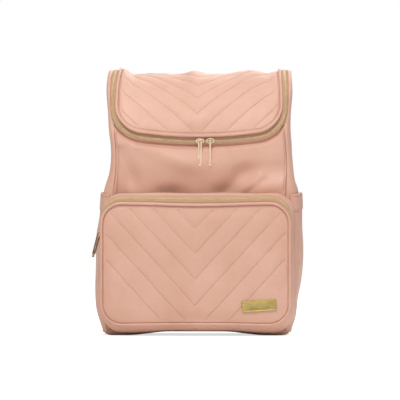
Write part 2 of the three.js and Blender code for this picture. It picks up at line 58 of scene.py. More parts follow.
def node_box(name):
    low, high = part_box(name)
    return np.array(low) / MM, np.array(high) / MM


# ------------------------------------------------------------------ driving dimensions

FRONT = node_box("front_panel")[0][1]
BACK = node_box("back_panel")[1][1]
HEIGHT = node_box("back_panel")[1][2]
SEAM_X = node_box("front_panel")[1][0]
BASE_RIM = node_box("base_panel")[1][2]
HINGE_Y = node_box("lid_panel")[1][1] + 0.3
DOME_BASE = 280.0  # level where the front starts to curve back into the lid
EDGE_ROLL = 14.0  # rounding of the edges between the sides and the other faces
TOP_EDGE_ROLL = 6.0  # rounding of the top's side edges, which the zip holds up
LEATHER = 1.6  # thickness of the coated fabric
CLOTH = 0.9  # and of the linings

DOME_DEPTH = HINGE_Y - FRONT
DOME_RISE = HEIGHT - DOME_BASE
DOME_SCALE = (DOME_DEPTH + DOME_RISE) / 2
TOP_ROLL = BACK - HINGE_Y  # rounding from the lid's seam down to the back
S_HINGE = DOME_BASE + DOME_SCALE * QUARTER  # girth coordinate of the lid's rear seam
S_BACK = S_HINGE + TOP_ROLL * QUARTER  # and of the top of the upright back
S_END = S_BACK + HEIGHT - TOP_ROLL  # and of the foot of the back

ZIP_LOW = node_box("lid_zip_tape")[0][2] - 0.8
ZIP_X = node_box("lid_zip_tape")[1][0] + 0.15
ZIP_ARC = 650.0
ZIP_CORNER = 48.0
ZIP_TOP_TAPER = 0.028  # share by which the lid narrows towards its rear seam
TAPE_THICKNESS = 0.7
LID_TAPE = 5.0  # visible width of the lid's tape, from the zip's line to the piping
BODY_TAPE = 4.2
PIPING_RADIUS = 2.2
PIPING_OFFSET = -(LID_TAPE + PIPING_RADIUS)
LID_EDGE = PIPING_OFFSET - PIPING_RADIUS * 0.7
BODY_EDGE = 3.2  # the panels' edge runs under the body's tape, which ends a little further out
LID_BEND = 18.0  # how far in front of its rear seam the lid bends when it is open

FACE_Y = node_box("pocket_panel_lower")[0][1]
FOLD_Z = node_box("pocket_panel_upper")[0][2] - 0.3

# Half width of the bag at each level, and how far it leans to the right there.
WIDTHS = ((0, 139), (30, 141), (70, 145), (190, 145), (216, 143), (240, 137.2), (262, 134.6), (300, 134.6),
          (336, 136), (370, 139), (398, 139))
LEAN = ((0, -3.4), (40, -2.6), (80, 0), (190, 1), (228, 2.6), (246, 3.9), (280, 2.9), (310, 0.4),
        (345, 0), (398, -1))

# Cloth across a joint: its two bodies, and the places where it would start and stop following each.
LID_CLOTH = ("lid", "bag", (0, HINGE_Y - LID_BEND, HEIGHT), (0, HINGE_Y, HEIGHT))
FLAP_CLOTH = ("bag", "pocket_flap", (0, FACE_Y, FOLD_Z - 14), (0, FACE_Y, FOLD_Z + 16))


# ------------------------------------------------------------------ small numeric helpers


def smooth(edge0, edge1, x):
    t = np.clip((np.asarray(x, float) - edge0) / (edge1 - edge0), 0, 1)
    return t * t * (3 - 2 * t)


def bump(x, centre, width):
    return np.exp(-(((x - centre) / width) ** 2))


def through(table, x):
    """A smooth curve through (position, value) pairs."""
    xs, ys = np.array(table, float).T
    slopes = np.gradient(ys, xs)
    x = np.clip(x, xs[0], xs[-1])
    i = np.clip(np.searchsorted(xs, x) - 1, 0, len(xs) - 2)
    step = xs[i + 1] - xs[i]
    t = (x - xs[i]) / step
    rise = (2 * t**3 - 3 * t**2 + 1) * ys[i] + (3 * t**2 - 2 * t**3) * ys[i + 1]
    return rise + (t**3 - 2 * t**2 + t) * step * slopes[i] + (t**3 - t**2) * step * slopes[i + 1]


def ridges(x, z, *lines):
    """Heights along lines of (height, start, end, width), falling smoothly to 0 at about each width."""
    total = 0.0
    for height, (ax, az), (bx, bz), width in lines:
        length = math.hypot(bx - ax, bz - az)
        ux, uz = (bx - ax) / length, (bz - az) / length
        along = (x - ax) * ux + (z - az) * uz
        across = (z - az) * ux - (x - ax) * uz
        past = np.maximum(0, np.maximum(-along, along - length))
        total = total + height * np.exp(-((across / width) ** 2) - (past / (1.6 * width)) ** 2)
    return total


def stack(x, y, z):
    return np.stack(np.broadcast_arrays(x, y, z), axis=-1).astype(float)


def unit(v):
    return v / np.maximum(np.linalg.norm(v, axis=-1, keepdims=True), 1e-9)


def grid(u, v):
    return np.meshgrid(u, v, indexing="ij")


def bands(*runs):
    """Grid values in runs of (start, stop, steps); each run starts where the last one stops."""
    parts = [np.linspace(start, stop, steps, endpoint=False) for start, stop, steps in runs]
    return np.concatenate(parts + [[runs[-1][1]]])


def spread(low, high, count, weight=1.1, end_weight=None):
    """Grid values from low to high, closer together at an end whose weight is above 1."""
    t = np.linspace(0, 1, count)
    pull = np.where(t < 0.5, 0.5 * (2 * t) ** weight, 1 - 0.5 * (2 - 2 * t) ** (end_weight or weight))
    return low + (high - low) * pull


def crowded(count, degrees):
    """Grid values from -1 to 1, crowded towards both ends as the sines of even angles are."""
    return np.sin(np.linspace(-1, 1, count) * math.radians(degrees)) / math.sin(math.radians(degrees))


def columns(d, low, high, t):
    """Grids of d and s; at each d, s runs from low to high at the shares t."""
    low, high = np.reshape(low, (-1, 1)), np.reshape(high, (-1, 1))
    s = low + (high - low) * t
    return np.broadcast_to(d[:, None], s.shape), s


def rounded_reach(z, half_x, half_z, corner):
    """Half width, at z from its middle, of a rectangle with rounded corners."""
    past = np.maximum(np.abs(z) - (half_z - corner), 0)
    return half_x - corner + np.sqrt(np.maximum(corner**2 - past**2, 0))


def inside_edge(x, z, half_x, half_z, corner):
    """Distance in from the edge of such a rectangle round the origin."""
    qx, qz = np.abs(x) - (half_x - corner), np.abs(z) - (half_z - corner)
    return corner - np.hypot(np.maximum(qx, 0), np.maximum(qz, 0)) - np.minimum(np.maximum(qx, qz), 0)


def rounded_corners(half_x, half_z, corner, steps):
    """The points (x, z) of its four corners, anticlockwise, `steps` to each corner."""
    arcs = []
    for number, (side_x, side_z) in enumerate(((1, 1), (-1, 1), (-1, -1), (1, -1))):
        turn = np.linspace(0, QUARTER, steps) + number * QUARTER
        arcs.append(np.stack([side_x * (half_x - corner) + corner * np.cos(turn),
                              side_z * (half_z - corner) + corner * np.sin(turn)], 1))
    return np.concatenate(arcs)


# ------------------------------------------------------------------ the bag's soft outer surface
# A place on the bag is (d, s): s is measured up the front, over the lid and down the back, and d is
# measured sideways from the centre line, round the rolled edge.


def half_width(z):
    return through(WIDTHS, z)


def edge_roll(z):
    return EDGE_ROLL + (TOP_EDGE_ROLL - EDGE_ROLL) * smooth(335, 385, z)


def profile(s):
    """Centre section of the bag at girth s: y, z and the outward normal's y and z."""
    phi = np.clip((s - DOME_BASE) / DOME_SCALE, 0, QUARTER)
    psi = np.clip((s - S_HINGE) / TOP_ROLL, 0, QUARTER)
    ny, nz = -np.cos(phi) * DOME_RISE, np.sin(phi) * DOME_DEPTH
    size = np.hypot(ny, nz)
    over = s > S_HINGE
    y = np.where(over, HINGE_Y + TOP_ROLL * np.sin(psi), HINGE_Y - DOME_DEPTH * np.cos(phi))
    z = np.where(over, HEIGHT - TOP_ROLL + TOP_ROLL * np.cos(psi) - np.maximum(s - S_BACK, 0),
                 DOME_BASE + DOME_RISE * np.sin(phi) + np.minimum(s - DOME_BASE, 0))
    return y, z, np.where(over, np.sin(psi), ny / size), np.where(over, np.cos(psi), nz / size)


def front_folds(x, s):
    """Hollows and ridges of the unpadded panel between the pocket and the lid zip, in mm."""
    inside = smooth(128.5, 121, np.abs(x)) * smooth(286, 278, s)
    belly = 6.4 * bump(s, 257, 18) * (0.35 + 0.65 * bump(x, -14, 46))
    tuck = -6.5 * bump(s, 208, 27) * (1 + 0.14 * np.sin(x / 31)) * (1 - 0.95 * smooth(64, 96, x))
    hollows = -8.0 * bump(x, -43, 23) * bump(s, 209, 14) - 2.4 * bump(x, 26, 22) * bump(s, 214, 13)
    folds = ridges(x, s, (-7.6, (-119, 266), (-106, 238), 13), (4.2, (-86, 280), (-24, 256), 12),
                   (-5.6, (36, 212), (60, 240), 12), (-6.4, (72, 243), (122, 250), 14),
                   (2.6, (70, 222), (86, 236), 7), (3.4, (92, 218), (122, 224), 10),
                   (-1.6, (76, 216), (94, 230), 4), (1.6, (-114, 232), (-102, 212), 9))
    return inside * (belly + tuck + hollows + folds)


def lid_softness(x, s):
    """Slow unevenness of the padded lid."""
    swell = 1.3 * np.sin(x / 27 + 0.6) * bump(s, 372, 44) + 0.9 * np.cos(x / 19) * bump(s, 330, 26)
    return swell * smooth(292, 318, s) * smooth(126, 104, np.abs(x))


def top_sag(x):
    """How far the unsupported top dips between its ends."""
    held = smooth(118, 98, np.abs(x))
    peaks = 4.6 * bump(x, -9, 13) + 5.6 * bump(x, 74, 24)
    return held * (8.0 - peaks) + 2.5 * bump(x, 113, 9) * smooth(124, 118, x)


def on_bag(d, s, height=0.0):
    """The point `height` above the outer surface at (d, s)."""
    d, s = np.asarray(d, float), np.asarray(s, float)
    y, z, ny, nz = profile(s)
    side = np.where(d >= 0, 1.0, -1.0)
    roll = edge_roll(z)
    flat = half_width(z) - roll
    reach = np.abs(d) * (1 - ZIP_TOP_TAPER * smooth(345, S_HINGE, s) * smooth(S_BACK + 40, S_BACK, s))
    theta = np.clip((reach - flat) / roll, 0, QUARTER)
    x = side * (np.minimum(reach, flat) + roll * np.sin(theta))
    lift = np.asarray(height, float) + front_folds(x, s) + lid_softness(x, s)
    rise = lift * np.cos(theta) - roll * (1 - np.cos(theta))
    x = x + side * lift * np.sin(theta) + through(LEAN, z)
    upright = smooth(DOME_BASE + 50, S_HINGE - 30, s) * smooth(S_BACK + 110, S_BACK, s)
    return stack(x, y + ny * rise, z + nz * rise - top_sag(x) * upright)


# ------------------------------------------------------------------ the lid zip's line


def zip_geometry(offset):
    """The line's corner centre, its lower arc's centre, the angle where they meet, and both radii."""
    corner_d = ZIP_X - ZIP_CORNER
    arc_s = ZIP_LOW + ZIP_ARC
    corner_s = arc_s - math.sqrt((ZIP_ARC - ZIP_CORNER) ** 2 - corner_d**2)
    tilt = math.atan2(corner_d, arc_s - corner_s)
    return corner_d, corner_s, arc_s, tilt, ZIP_ARC + offset, ZIP_CORNER + offset


def zip_low(d, offset):
    """Girth coordinate of the zip's lower run, moved outwards by offset, at sideways place d."""
    corner_d, corner_s, arc_s, tilt, arc, corner = zip_geometry(offset)
    d = np.abs(np.asarray(d, float))
    meeting = arc * math.sin(tilt)
    low = arc_s - np.sqrt(arc**2 - np.minimum(d, meeting) ** 2)
    turn = corner_s - np.sqrt(np.maximum(corner**2 - (d - corner_d) ** 2, 0))
    return np.where(d > meeting, turn, low)


def zip_reach(s, offset):
    """Sideways place of the zip's line at girth s, above its lower run."""
    corner_d, corner_s, _, _, _, corner = zip_geometry(offset)
    drop = np.clip(corner_s - np.asarray(s, float), 0, corner)
    return corner_d + np.sqrt(corner**2 - drop**2)


def zip_line(end, step=2.0):
    """Points (d, s) along the zip's centre line and its outward normals, from left to right."""
    corner_d, corner_s, arc_s, tilt, arc, corner = zip_geometry(0)
    lengths = np.cumsum([0, arc * tilt, corner * (QUARTER - tilt), end - corner_s])
    t = np.linspace(0, lengths[-1], int(lengths[-1] / step) + 1)
    on_arc = t < lengths[1]
    angle = np.where(on_arc, t / arc, np.minimum(tilt + (t - lengths[1]) / corner, QUARTER))
    radius = np.where(on_arc, arc, corner)
    d = np.where(on_arc, 0, corner_d) + radius * np.sin(angle)
    s = np.where(on_arc, arc_s, corner_s) - radius * np.cos(angle) + np.maximum(t - lengths[2], 0)
    right = np.stack([d, s], 1)
    normal = np.stack([np.sin(angle), -np.cos(angle)], 1)
    return tuple(np.concatenate([half[:0:-1] * [-1, 1], half]) for half in (right, normal))


# ------------------------------------------------------------------ meshes


def mesh_object(name, points, faces, material, smooth_shade=True):
    mesh = bpy.data.meshes.new(name)
    mesh.from_pydata((np.asarray(points).reshape(-1, 3) * MM).tolist(), [], faces)
    shaped = bmesh.new()
    shaped.from_mesh(mesh)
    bmesh.ops.recalc_face_normals(shaped, faces=shaped.faces)
    shaped.to_mesh(mesh)
    shaped.free()
    mesh.polygons.foreach_set("use_smooth", [smooth_shade] * len(mesh.polygons))
    obj = bpy.data.objects.new(name, mesh)
    bpy.context.scene.collection.objects.link(obj)
    obj.data.materials.append(material)
    return obj


def applied(obj, **settings):
    """Adds a modifier, applies it to the mesh, and shades the mesh smooth."""
    modifier = obj.modifiers.new("shape", settings.pop("type"))
    for key, value in settings.items():
        setattr(modifier, key, value)
    bpy.context.view_layer.update()
    mesh = bpy.data.meshes.new_from_object(obj.evaluated_get(bpy.context.evaluated_depsgraph_get()))
    obj.modifiers.clear()
    old, obj.data = obj.data, mesh
    bpy.data.meshes.remove(old)
    mesh.polygons.foreach_set("use_smooth", [True] * len(mesh.polygons))


FILL_PRESSURE = 4.0
FILL_FRAMES = 20


def fill(obj, cap):
    """Pads an evenly meshed skin by a short cloth simulation; cap(points) limits each point's way, in mm."""
    start = np.empty(len(obj.data.vertices) * 3)
    obj.data.vertices.foreach_get("co", start)
    cloth = obj.modifiers.new("fill", "CLOTH")
    cloth.settings.quality = 5
    cloth.settings.use_pressure = True
    cloth.settings.uniform_pressure_force = FILL_PRESSURE
    cloth.settings.effector_weights.gravity = 0
    cloth.point_cache.frame_end = FILL_FRAMES
    for number in range(1, FILL_FRAMES + 1):
        bpy.context.scene.frame_set(number)
    end = np.empty_like(start)
    obj.evaluated_get(bpy.context.evaluated_depsgraph_get()).data.vertices.foreach_get("co", end)
    obj.modifiers.clear()
    bpy.context.scene.frame_set(1)
    start, shift = start.reshape(-1, 3), (end - start).reshape(-1, 3)
    far = np.linalg.norm(shift, axis=1)
    shift *= np.minimum(1, cap(start / MM) * MM / np.maximum(far, 1e-9))[:, None]
    obj.data.vertices.foreach_set("co", (start + shift).ravel())
    obj.data.update()
    applied(obj, type="SUBSURF", levels=1)


def place(obj, body, *nodes, slot=None):
    """Hides the CAD nodes that a piece replaces and parents it to its body; its slot is worked out but not
    kept, and a piece between two bodies only has its transform baked.
    """
    slot or SLOTS[obj.data.materials[0]]
    if nodes:
        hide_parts(*nodes)
    if isinstance(body, tuple):
        first, second, start, end = body
        tuple(np.array(start) * MM)
        tuple(np.array(end) * MM)
        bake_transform(obj)
    else:
        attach(obj, body)


def formed(name, parts, material, edge=0.0):
    """One mesh object from several (points, faces) sets, with its sharp edges rounded by `edge` mm."""
    points, faces, base = [], [], 0
    for part_points, part_faces in parts:
        part_points = np.asarray(part_points).reshape(-1, 3)
        points.append(part_points)
        faces.extend([[int(k) + base for k in face] for face in part_faces])
        base += len(part_points)
    obj = mesh_object(name, np.concatenate(points), faces, material)
    if edge:
        applied(obj, type="BEVEL", width=edge * MM, segments=2, limit_method="ANGLE",
                angle_limit=math.radians(50), harden_normals=False)
    return obj


def piece(name, parts, material, body, *nodes, edge=0.0, slot=None):
    place(formed(name, parts, material, edge), body, *nodes, slot=slot)


def sheet_parts(outer, inner, wrap=False):
    """Points and faces of a closed sheet between two grids of points, wrapped round in u if asked."""
    nu, nv = outer.shape[:2]
    count = nu * nv
    i = np.arange(nu if wrap else nu - 1)
    j = np.arange(nv - 1)
    a, b = (values.ravel() for values in grid(i, j))
    a2 = (a + 1) % nu
    quads = np.stack([a * nv + b, a2 * nv + b, a2 * nv + b + 1, a * nv + b + 1], 1)
    faces = [quads, quads[:, ::-1] + count]
    first, last = i * nv, ((i + 1) % nu) * nv
    for low, order in ((0, 1), (nv - 1, -1)):
        rim = np.stack([first + low, first + low + count, last + low + count, last + low], 1)
        faces.append(rim[:, ::order])
    for row, order in () if wrap else ((0, -1), ((nu - 1) * nv, 1)):
        rim = np.stack([row + j, row + j + count, row + j + 1 + count, row + j + 1], 1)
        faces.append(rim[:, ::order])
    return np.concatenate([outer.reshape(-1, 3), inner.reshape(-1, 3)]), np.concatenate(faces)


def skin(surface, u, v, lift=0.0, thickness=LEATHER, wrap=False):
    """A sheet of cloth lying on surface(u, v, height)."""
    return sheet_parts(surface(u, v, lift), surface(u, v, lift - thickness), wrap)


def ring_faces(rings, sides, closed=False):
    """Faces of a tube through `rings` rings of points, closed into a loop or capped at its ends."""
    faces = []
    for i in range(rings if closed else rings - 1):
        here, there = i * sides, (i + 1) % rings * sides
        for j in range(sides):
            k = (j + 1) % sides
            faces.append([here + j, here + k, there + k, there + j])
    if not closed:
        faces.append(list(range(sides))[::-1])
        faces.append([(rings - 1) * sides + j for j in range(sides)])
    return faces


def lofted(rings):
    """A closed solid through equal rings of points."""
    rings = np.array(rings, float)
    return rings.reshape(-1, 3), ring_faces(*rings.shape[:2])


def tube_parts(path, radius, sides=10, closed=False, squash=1.0, up=(0, 1, 0)):
    """A round or oval tube along a polyline."""
    path = np.asarray(path, float)
    tangent = np.roll(path, -1, 0) - np.roll(path, 1, 0) if closed else np.gradient(path, axis=0)
    tangent = unit(tangent)
    side = np.cross(np.broadcast_to(np.asarray(up, float), path.shape), tangent)
    side = unit(side)
    top = np.cross(tangent, side)
    turn = np.linspace(0, 2 * math.pi, sides, endpoint=False)[:, None]
    radius = np.broadcast_to(radius, len(path))[:, None, None]
    ring = side[:, None, :] * np.cos(turn) + top[:, None, :] * (squash * np.sin(turn))
    return (path[:, None, :] + ring * radius).reshape(-1, 3), ring_faces(len(path), sides, closed)


def wrinkle(count, fast, slow):
    """Small unevenness of a cord's radius."""
    k = np.arange(count)
    return 0.12 * np.sin(k * fast) + 0.08 * np.sin(k * slow)


def lengths_along(points):
    return np.concatenate([[0], np.cumsum(np.linalg.norm(np.diff(points, axis=0), axis=1))])


def evenly(length, step):
    """Places along a line, about `step` apart, half a step in from its ends."""
    count = max(1, int(length / step))
    return (np.arange(count) + 0.5) * length / count


def repeated(shape, path, surface, base, height, places):
    """Copies of a small shape along a path of (u, v) places on surface(u, v, height).

    The path is measured at the height `base`; places(length) says where along it the copies lie.
    """
    points, faces = shape
    along = lengths_along(surface(path[:, 0], path[:, 1], base))
    t = places(along[-1])

    def at(t, rise=0.0):
        return surface(np.interp(t, along, path[:, 0]), np.interp(t, along, path[:, 1]), height + rise)

    here = at(t)
    xs = unit(at(t + 0.4) - at(t - 0.4))
    zs = unit(at(t, 1.0) - here)
    axes = np.stack([xs, unit(np.cross(zs, xs)), zs], 1)
    copies = here[:, None, :] + points @ axes
    count = len(points)
    return copies.reshape(-1, 3), [[k + n * count for k in face] for n in range(len(t)) for face in faces]


STITCH = 3.4  # spacing of a seam's stitches
QUILT_STITCH = 3.2
THREAD = 0.34  # radius of the thread
STRONG_THREAD = 0.36


def stitch_parts(path, surface, step=STITCH, radius=THREAD, sink=0.1):
    """Stitches along a path of (u, v) places on surface(u, v, height)."""
    turn = np.arange(5) * 2 * math.pi / 5
    rings = [stack(x * step * 0.72, r * radius * np.cos(turn), r * radius * np.sin(turn))
             for x, r in ((-0.5, 0.35), (-0.3, 1.0), (0.3, 1.0), (0.5, 0.35))]
    return repeated(lofted(rings), path, surface, 0.0, radius - sink, lambda length: evenly(length, step))


def sew(name, parts, body="bag", slot=None):
    piece(name + "_stitching", parts, THREAD_PINK, body, slot=slot)


def chevron_stitches(surface, starts, slope, centre, reach, inside, sink):
    """Stitches along V-shaped lines, wherever inside(x, v) is true; reach holds places along one arm."""
    parts = []
    for start in starts:
        for side in (-1, 1):
            x, v = centre + side * reach, start + slope * reach
            keep = inside(x, v)
            if keep.sum() > 6:
                parts.append(stitch_parts(np.stack([x[keep], v[keep]], 1), surface, QUILT_STITCH, sink=sink))
    return parts



# ------------------------------------------------------------------ materials


class Shader:
    """A small helper that builds a node material round one Principled surface."""

    def __init__(self, name):
        self.material = bpy.data.materials.new(name)
        self.material.use_nodes = True
        self.tree = self.material.node_tree
        self.surface = self.tree.nodes["Principled BSDF"]
        self.place = self.tree.nodes.new("ShaderNodeTexCoord").outputs["Object"]

    def node(self, kind, settings=None, **inputs):
        made = self.tree.nodes.new("ShaderNode" + kind)
        for key, value in (settings or {}).items():
            setattr(made, key, value)
        for key, value in inputs.items():
            self.feed(made.inputs[key.replace("_", " ")], value)
        return made

    def feed(self, socket, value):
        if isinstance(value, bpy.types.NodeSocket):
            self.tree.links.new(value, socket)
        else:
            socket.default_value = value

    def noise(self, scale, detail=3.0, roughness=0.55, place=None):
        return self.node("TexNoise", Vector=place or self.place, Scale=scale, Detail=detail,
                         Roughness=roughness).outputs["Fac"]

    def cells(self, scale, feature="F1"):
        made = self.node("TexVoronoi", {"feature": feature}, Vector=self.place, Scale=scale)
        return made.outputs["Distance"]

    def span(self, value, low, high, to_low=0, to_high=1):
        made = self.node("MapRange", Value=value)
        for index, number in enumerate((low, high, to_low, to_high), 1):
            made.inputs[index].default_value = number
        return made.outputs["Result"]

    def maths(self, operation, a, b=0.0):
        made = self.node("Math", {"operation": operation})
        self.feed(made.inputs[0], a)
        self.feed(made.inputs[1], b)
        return made.outputs["Value"]

    def plus(self, a, b):
        return self.maths("ADD", a, b)

    def times(self, a, b):
        return self.maths("MULTIPLY", a, b)

    def waves(self, **pitches):
        """Sine waves along the named axes, with pitches in mm."""
        split = self.node("SeparateXYZ", Vector=self.place).outputs
        return [self.maths("SINE", self.times(split[axis], 2 * math.pi / (pitch * MM)))
                for axis, pitch in pitches.items()]

    def mix(self, share, a, b):
        made = self.node("Mix", {"data_type": "RGBA"})
        self.feed(made.inputs["Factor"], share)
        self.feed(made.inputs[6], a)
        self.feed(made.inputs[7], b)
        return made.outputs[2]

    def bump(self, height, distance, strength=1.0, under=None):
        made = self.node("Bump", Height=height, Distance=distance * MM, Strength=strength)
        if under is not None:
            self.feed(made.inputs["Normal"], under)
        return made.outputs["Normal"]

    def finish(self, **inputs):
        for key, value in inputs.items():
            self.feed(self.surface.inputs[key.replace("_", " ")], value)
        return self.material


def linear(red, green, blue):
    """An sRGB colour from 0 to 255, none of it near black, as linear RGBA."""
    shares = [value / 255 for value in (red, green, blue)]
    return (*(((share + 0.055) / 1.055) ** 2.4 for share in shares), 1.0)


def leather_material(name, light, dark, grain=1.0, roughness=0.5):
    """Faux leather: a fine pebble grain with slow changes of tone and gloss."""
    shader = Shader(name)
    clouds, streaks = shader.noise(9, 4, 0.6), shader.noise(34, 3, 0.5)
    tone = shader.span(shader.plus(shader.times(clouds, 0.7), shader.times(streaks, 0.3)), 0.34, 0.66)
    pebble = shader.cells(820 / grain)
    pores = shader.cells(1500 / grain, "DISTANCE_TO_EDGE")
    pit_colour = (*(0.72 * c for c in dark[:3]), 1.0)
    colour = shader.mix(shader.span(pebble, 0.25, 0.75, 0, 0.16), shader.mix(tone, dark, light), pit_colour)
    normal = shader.bump(shader.noise(260, 5, 0.6), 0.10, 0.5)
    normal = shader.bump(shader.span(pebble, 0.0, 0.8, 1, 0), 0.10, 0.55, normal)
    normal = shader.bump(pores, 0.04, 0.4, normal)
    gloss = shader.span(shader.noise(60), 0.3, 0.7, roughness - 0.05, roughness + 0.07)
    return shader.finish(Base_Color=colour, Roughness=gloss, Normal=normal, Specular_IOR_Level=0.42,
                         Sheen_Weight=0.06, Sheen_Roughness=0.5)


def woven_material(name, light, dark, pitch=0.7, sheen=0.2):
    """A plain weave with threads `pitch` mm apart, on any face."""
    shader = Shader(name)
    x, y, z = shader.waves(X=pitch, Y=pitch, Z=pitch)
    weave = shader.span(shader.times(shader.plus(x, y), z), -2, 2)
    height = shader.plus(weave, shader.times(shader.noise(1400, 2), 0.35))
    tone = shader.times(shader.span(height, 0.2, 1.1), shader.span(shader.noise(18), 0.3, 0.7, 0.75, 1))
    return shader.finish(Base_Color=shader.mix(tone, dark, light), Roughness=0.85,
                         Normal=shader.bump(height, 0.12, 0.7), Sheen_Weight=sheen)


def webbing_material(name, light, dark):
    """Ribbed webbing: fine rows across the band."""
    shader = Shader(name)
    rows, lines = shader.waves(Z=1.5, X=2.2)
    ribs = shader.plus(shader.span(rows, -1, 1, 0, 0.7), shader.span(lines, -1, 1, 0, 0.3))
    height = shader.plus(ribs, shader.times(shader.noise(900, 2), 0.3))
    colour = shader.mix(shader.span(height, 0.2, 1.1), dark, light)
    return shader.finish(Base_Color=colour, Roughness=0.75, Normal=shader.bump(height, 0.2, 0.8),
                         Sheen_Weight=0.2)


def metal_material(name, light, dark, roughness=0.3, brushed=False, purity=1.0):
    """Plated metal, polished or brushed along X, with faint handling wear."""
    shader = Shader(name)
    stretched = shader.node("Mapping", Vector=shader.place, Scale=(30, 900, 900) if brushed else (1, 1, 1))
    fine = shader.noise(1.0 if brushed else 700, 3, 0.6, stretched.outputs["Vector"])
    wear = shader.noise(160, 4, 0.6)
    colour = shader.mix(shader.span(wear, 0.3, 0.7), dark, light)
    gloss = shader.span(shader.plus(fine, wear), 0.7, 1.3, roughness - 0.06, roughness + 0.12)
    return shader.finish(Base_Color=colour, Metallic=purity, Roughness=gloss,
                         Normal=shader.bump(fine, 0.02, 0.35))


def foam_material(name, light, dark, scale=700):
    shader = Shader(name)
    pores = shader.cells(scale)
    colour = shader.mix(shader.span(pores, 0.1, 0.7), light, dark)
    return shader.finish(Base_Color=colour, Roughness=0.9, Normal=shader.bump(pores, 0.15, 0.6))


def pale_floor_material():
    shader = Shader("pale_floor")
    tone = shader.mix(shader.noise(3), (0.93, 0.93, 0.93, 1), (0.96, 0.96, 0.96, 1))
    # seen by the camera, the far floor is kept as pale as the near floor
    glow = shader.times(shader.node("LightPath").outputs["Is Camera Ray"], 0.69)
    return shader.finish(Base_Color=tone, Roughness=0.9, Emission_Color=tone, Emission_Strength=glow)


PINK = leather_material("pink_leather", linear(229, 184, 163), linear(219, 170, 148))
PINK_EDGE = leather_material("pink_trim", linear(228, 181, 160), linear(218, 168, 147), 0.8, 0.46)
THREAD_PINK = woven_material("pink_thread", linear(205, 148, 126), linear(176, 118, 98), pitch=0.3, sheen=0.4)
LINING = woven_material("beige_lining", linear(222, 205, 176), linear(196, 176, 146), pitch=0.8)
TAPE = woven_material("tan_zip_tape", linear(216, 178, 146), linear(186, 146, 116), pitch=0.6)
TEETH = metal_material("zip_teeth", linear(224, 197, 156), linear(200, 171, 128), roughness=0.42, purity=0.15)
GOLD = metal_material("gold_fittings", linear(255, 240, 214), linear(248, 224, 188), purity=0.3)
# a darker copy of the gold fittings: painted shade for the slider plates inside their rims and for the
# pocket's pull, which hangs in shade
PAINTED_SHADE_GOLD = metal_material("painted_shade_gold", linear(176, 146, 108), linear(140, 110, 76), purity=0.9)
PLATE = metal_material("gold_plate", linear(216, 194, 128), linear(192, 168, 100), 0.34, brushed=True)
WEBBING = webbing_material("pink_webbing", linear(222, 170, 148), linear(190, 134, 112))
FOAM = foam_material("foam_sheet", linear(236, 232, 224), linear(206, 200, 190))
BOARD = foam_material("base_stiffener", linear(214, 208, 196), linear(180, 172, 158), scale=300)

# The slot meant for each material's pieces.
SLOTS = {PINK: "coated_fabric", PINK_EDGE: "edge_trim", THREAD_PINK: "edge_trim", LINING: "lining",
         TAPE: "zip_tape", TEETH: "gold_metal", GOLD: "gold_metal", PAINTED_SHADE_GOLD: "gold_metal",
         PLATE: "gold_plate", WEBBING: "webbing", FOAM: "foam", BOARD: "foam"}


# ------------------------------------------------------------------ front and back panels


def make_front_panel():
    d = spread(-SEAM_X + 0.2, SEAM_X - 0.2, 141, 1.15)
    top = zip_low(d, BODY_EDGE)
    d_at, s_at = columns(d, BASE_RIM + 0.2, top, bands((0, 0.55, 24), (0.55, 0.955, 56), (0.955, 1, 17)))
    # the edges dip under the zip tape and into the upright seams
    below = top[:, None] - s_at
    tuck = -1.4 * smooth(8, 0, below) - 4.6 * smooth(-0.2, 1.3, below) * smooth(11, 3.4, below)
    lift = tuck - 2.0 * bump(np.abs(d_at), SEAM_X, 1.8)
    piece("front_panel_skin", [skin(on_bag, d_at, s_at, lift)], PINK, "bag", "front_panel", edge=0.5)


BACK_CHANNELS = (-107.5, -64.5, -21.5, 21.5, 64.5, 107.5)  # upright sewn lines in the back's padding
CHANNEL_TOP = S_BACK + 46
CHANNEL_FOOT = S_BACK + 168


def on_back(d, s, height=0.0):
    """The back panel, padded in upright channels between the yoke and the sleeve."""
    d = np.asarray(d, float)
    nearest = np.min(np.abs(d[..., None] - np.array(BACK_CHANNELS)), axis=-1)
    puff = (2.6 * (1 - np.exp(-nearest / 6)) - 0.4) * smooth(125, 112, np.abs(d))
    padded = (puff * smooth(CHANNEL_TOP - 4, CHANNEL_TOP + 8, s)
              * smooth(CHANNEL_FOOT + 4, CHANNEL_FOOT - 8, s))
    hollow = -1.2 * bump(s - S_BACK, 300, 60) * np.cos(d / 40)
    seam = -1.8 * bump(np.abs(d), SEAM_X, 2.0)
    return on_bag(d, s, padded + hollow + seam - 0.9 + height)


def make_back_panel():
    d = spread(-SEAM_X + 0.2, SEAM_X - 0.2, 121)
    s = bands((S_HINGE + 0.6, S_BACK + 40, 34), (S_BACK + 40, S_END - BASE_RIM - 0.2, 99))
    piece("back_panel_skin", [skin(on_back, *grid(d, s))], PINK, "bag", "back_panel", edge=0.5)


def upright_run(d, low, high):
    return np.linspace((d, low), (d, high), int((high - low) / 4))


def make_body_stitches():
    """Topstitching beside the upright seams, and along the back's channels."""
    parts = []
    for d in (4.2 - SEAM_X, SEAM_X - 4.2):
        parts.append(stitch_parts(upright_run(d, 216, float(zip_low(d, BODY_EDGE)) - 9), on_bag))
        parts.append(stitch_parts(upright_run(d, S_BACK + 6, S_END - BASE_RIM - 6), on_back))
    runs = [upright_run(d, CHANNEL_TOP, CHANNEL_FOOT) for d in BACK_CHANNELS]
    runs += [np.linspace((-116, s), (116, s), 60) for s in (CHANNEL_TOP - 3, CHANNEL_FOOT + 3)]
    parts += [stitch_parts(run, on_back, radius=STRONG_THREAD) for run in runs]
    piece("body_topstitching", parts, THREAD_PINK, "bag")


# ------------------------------------------------------------------ side panels and base

SEAM_EDGE = SEAM_X + 0.2
ROLL_SHARE = 0.14  # share of a side panel's u taken by each rolled edge
SIDE_U = bands((0, ROLL_SHARE, 9), (ROLL_SHARE, 1 - ROLL_SHARE, 33), (1 - ROLL_SHARE, 1, 8))


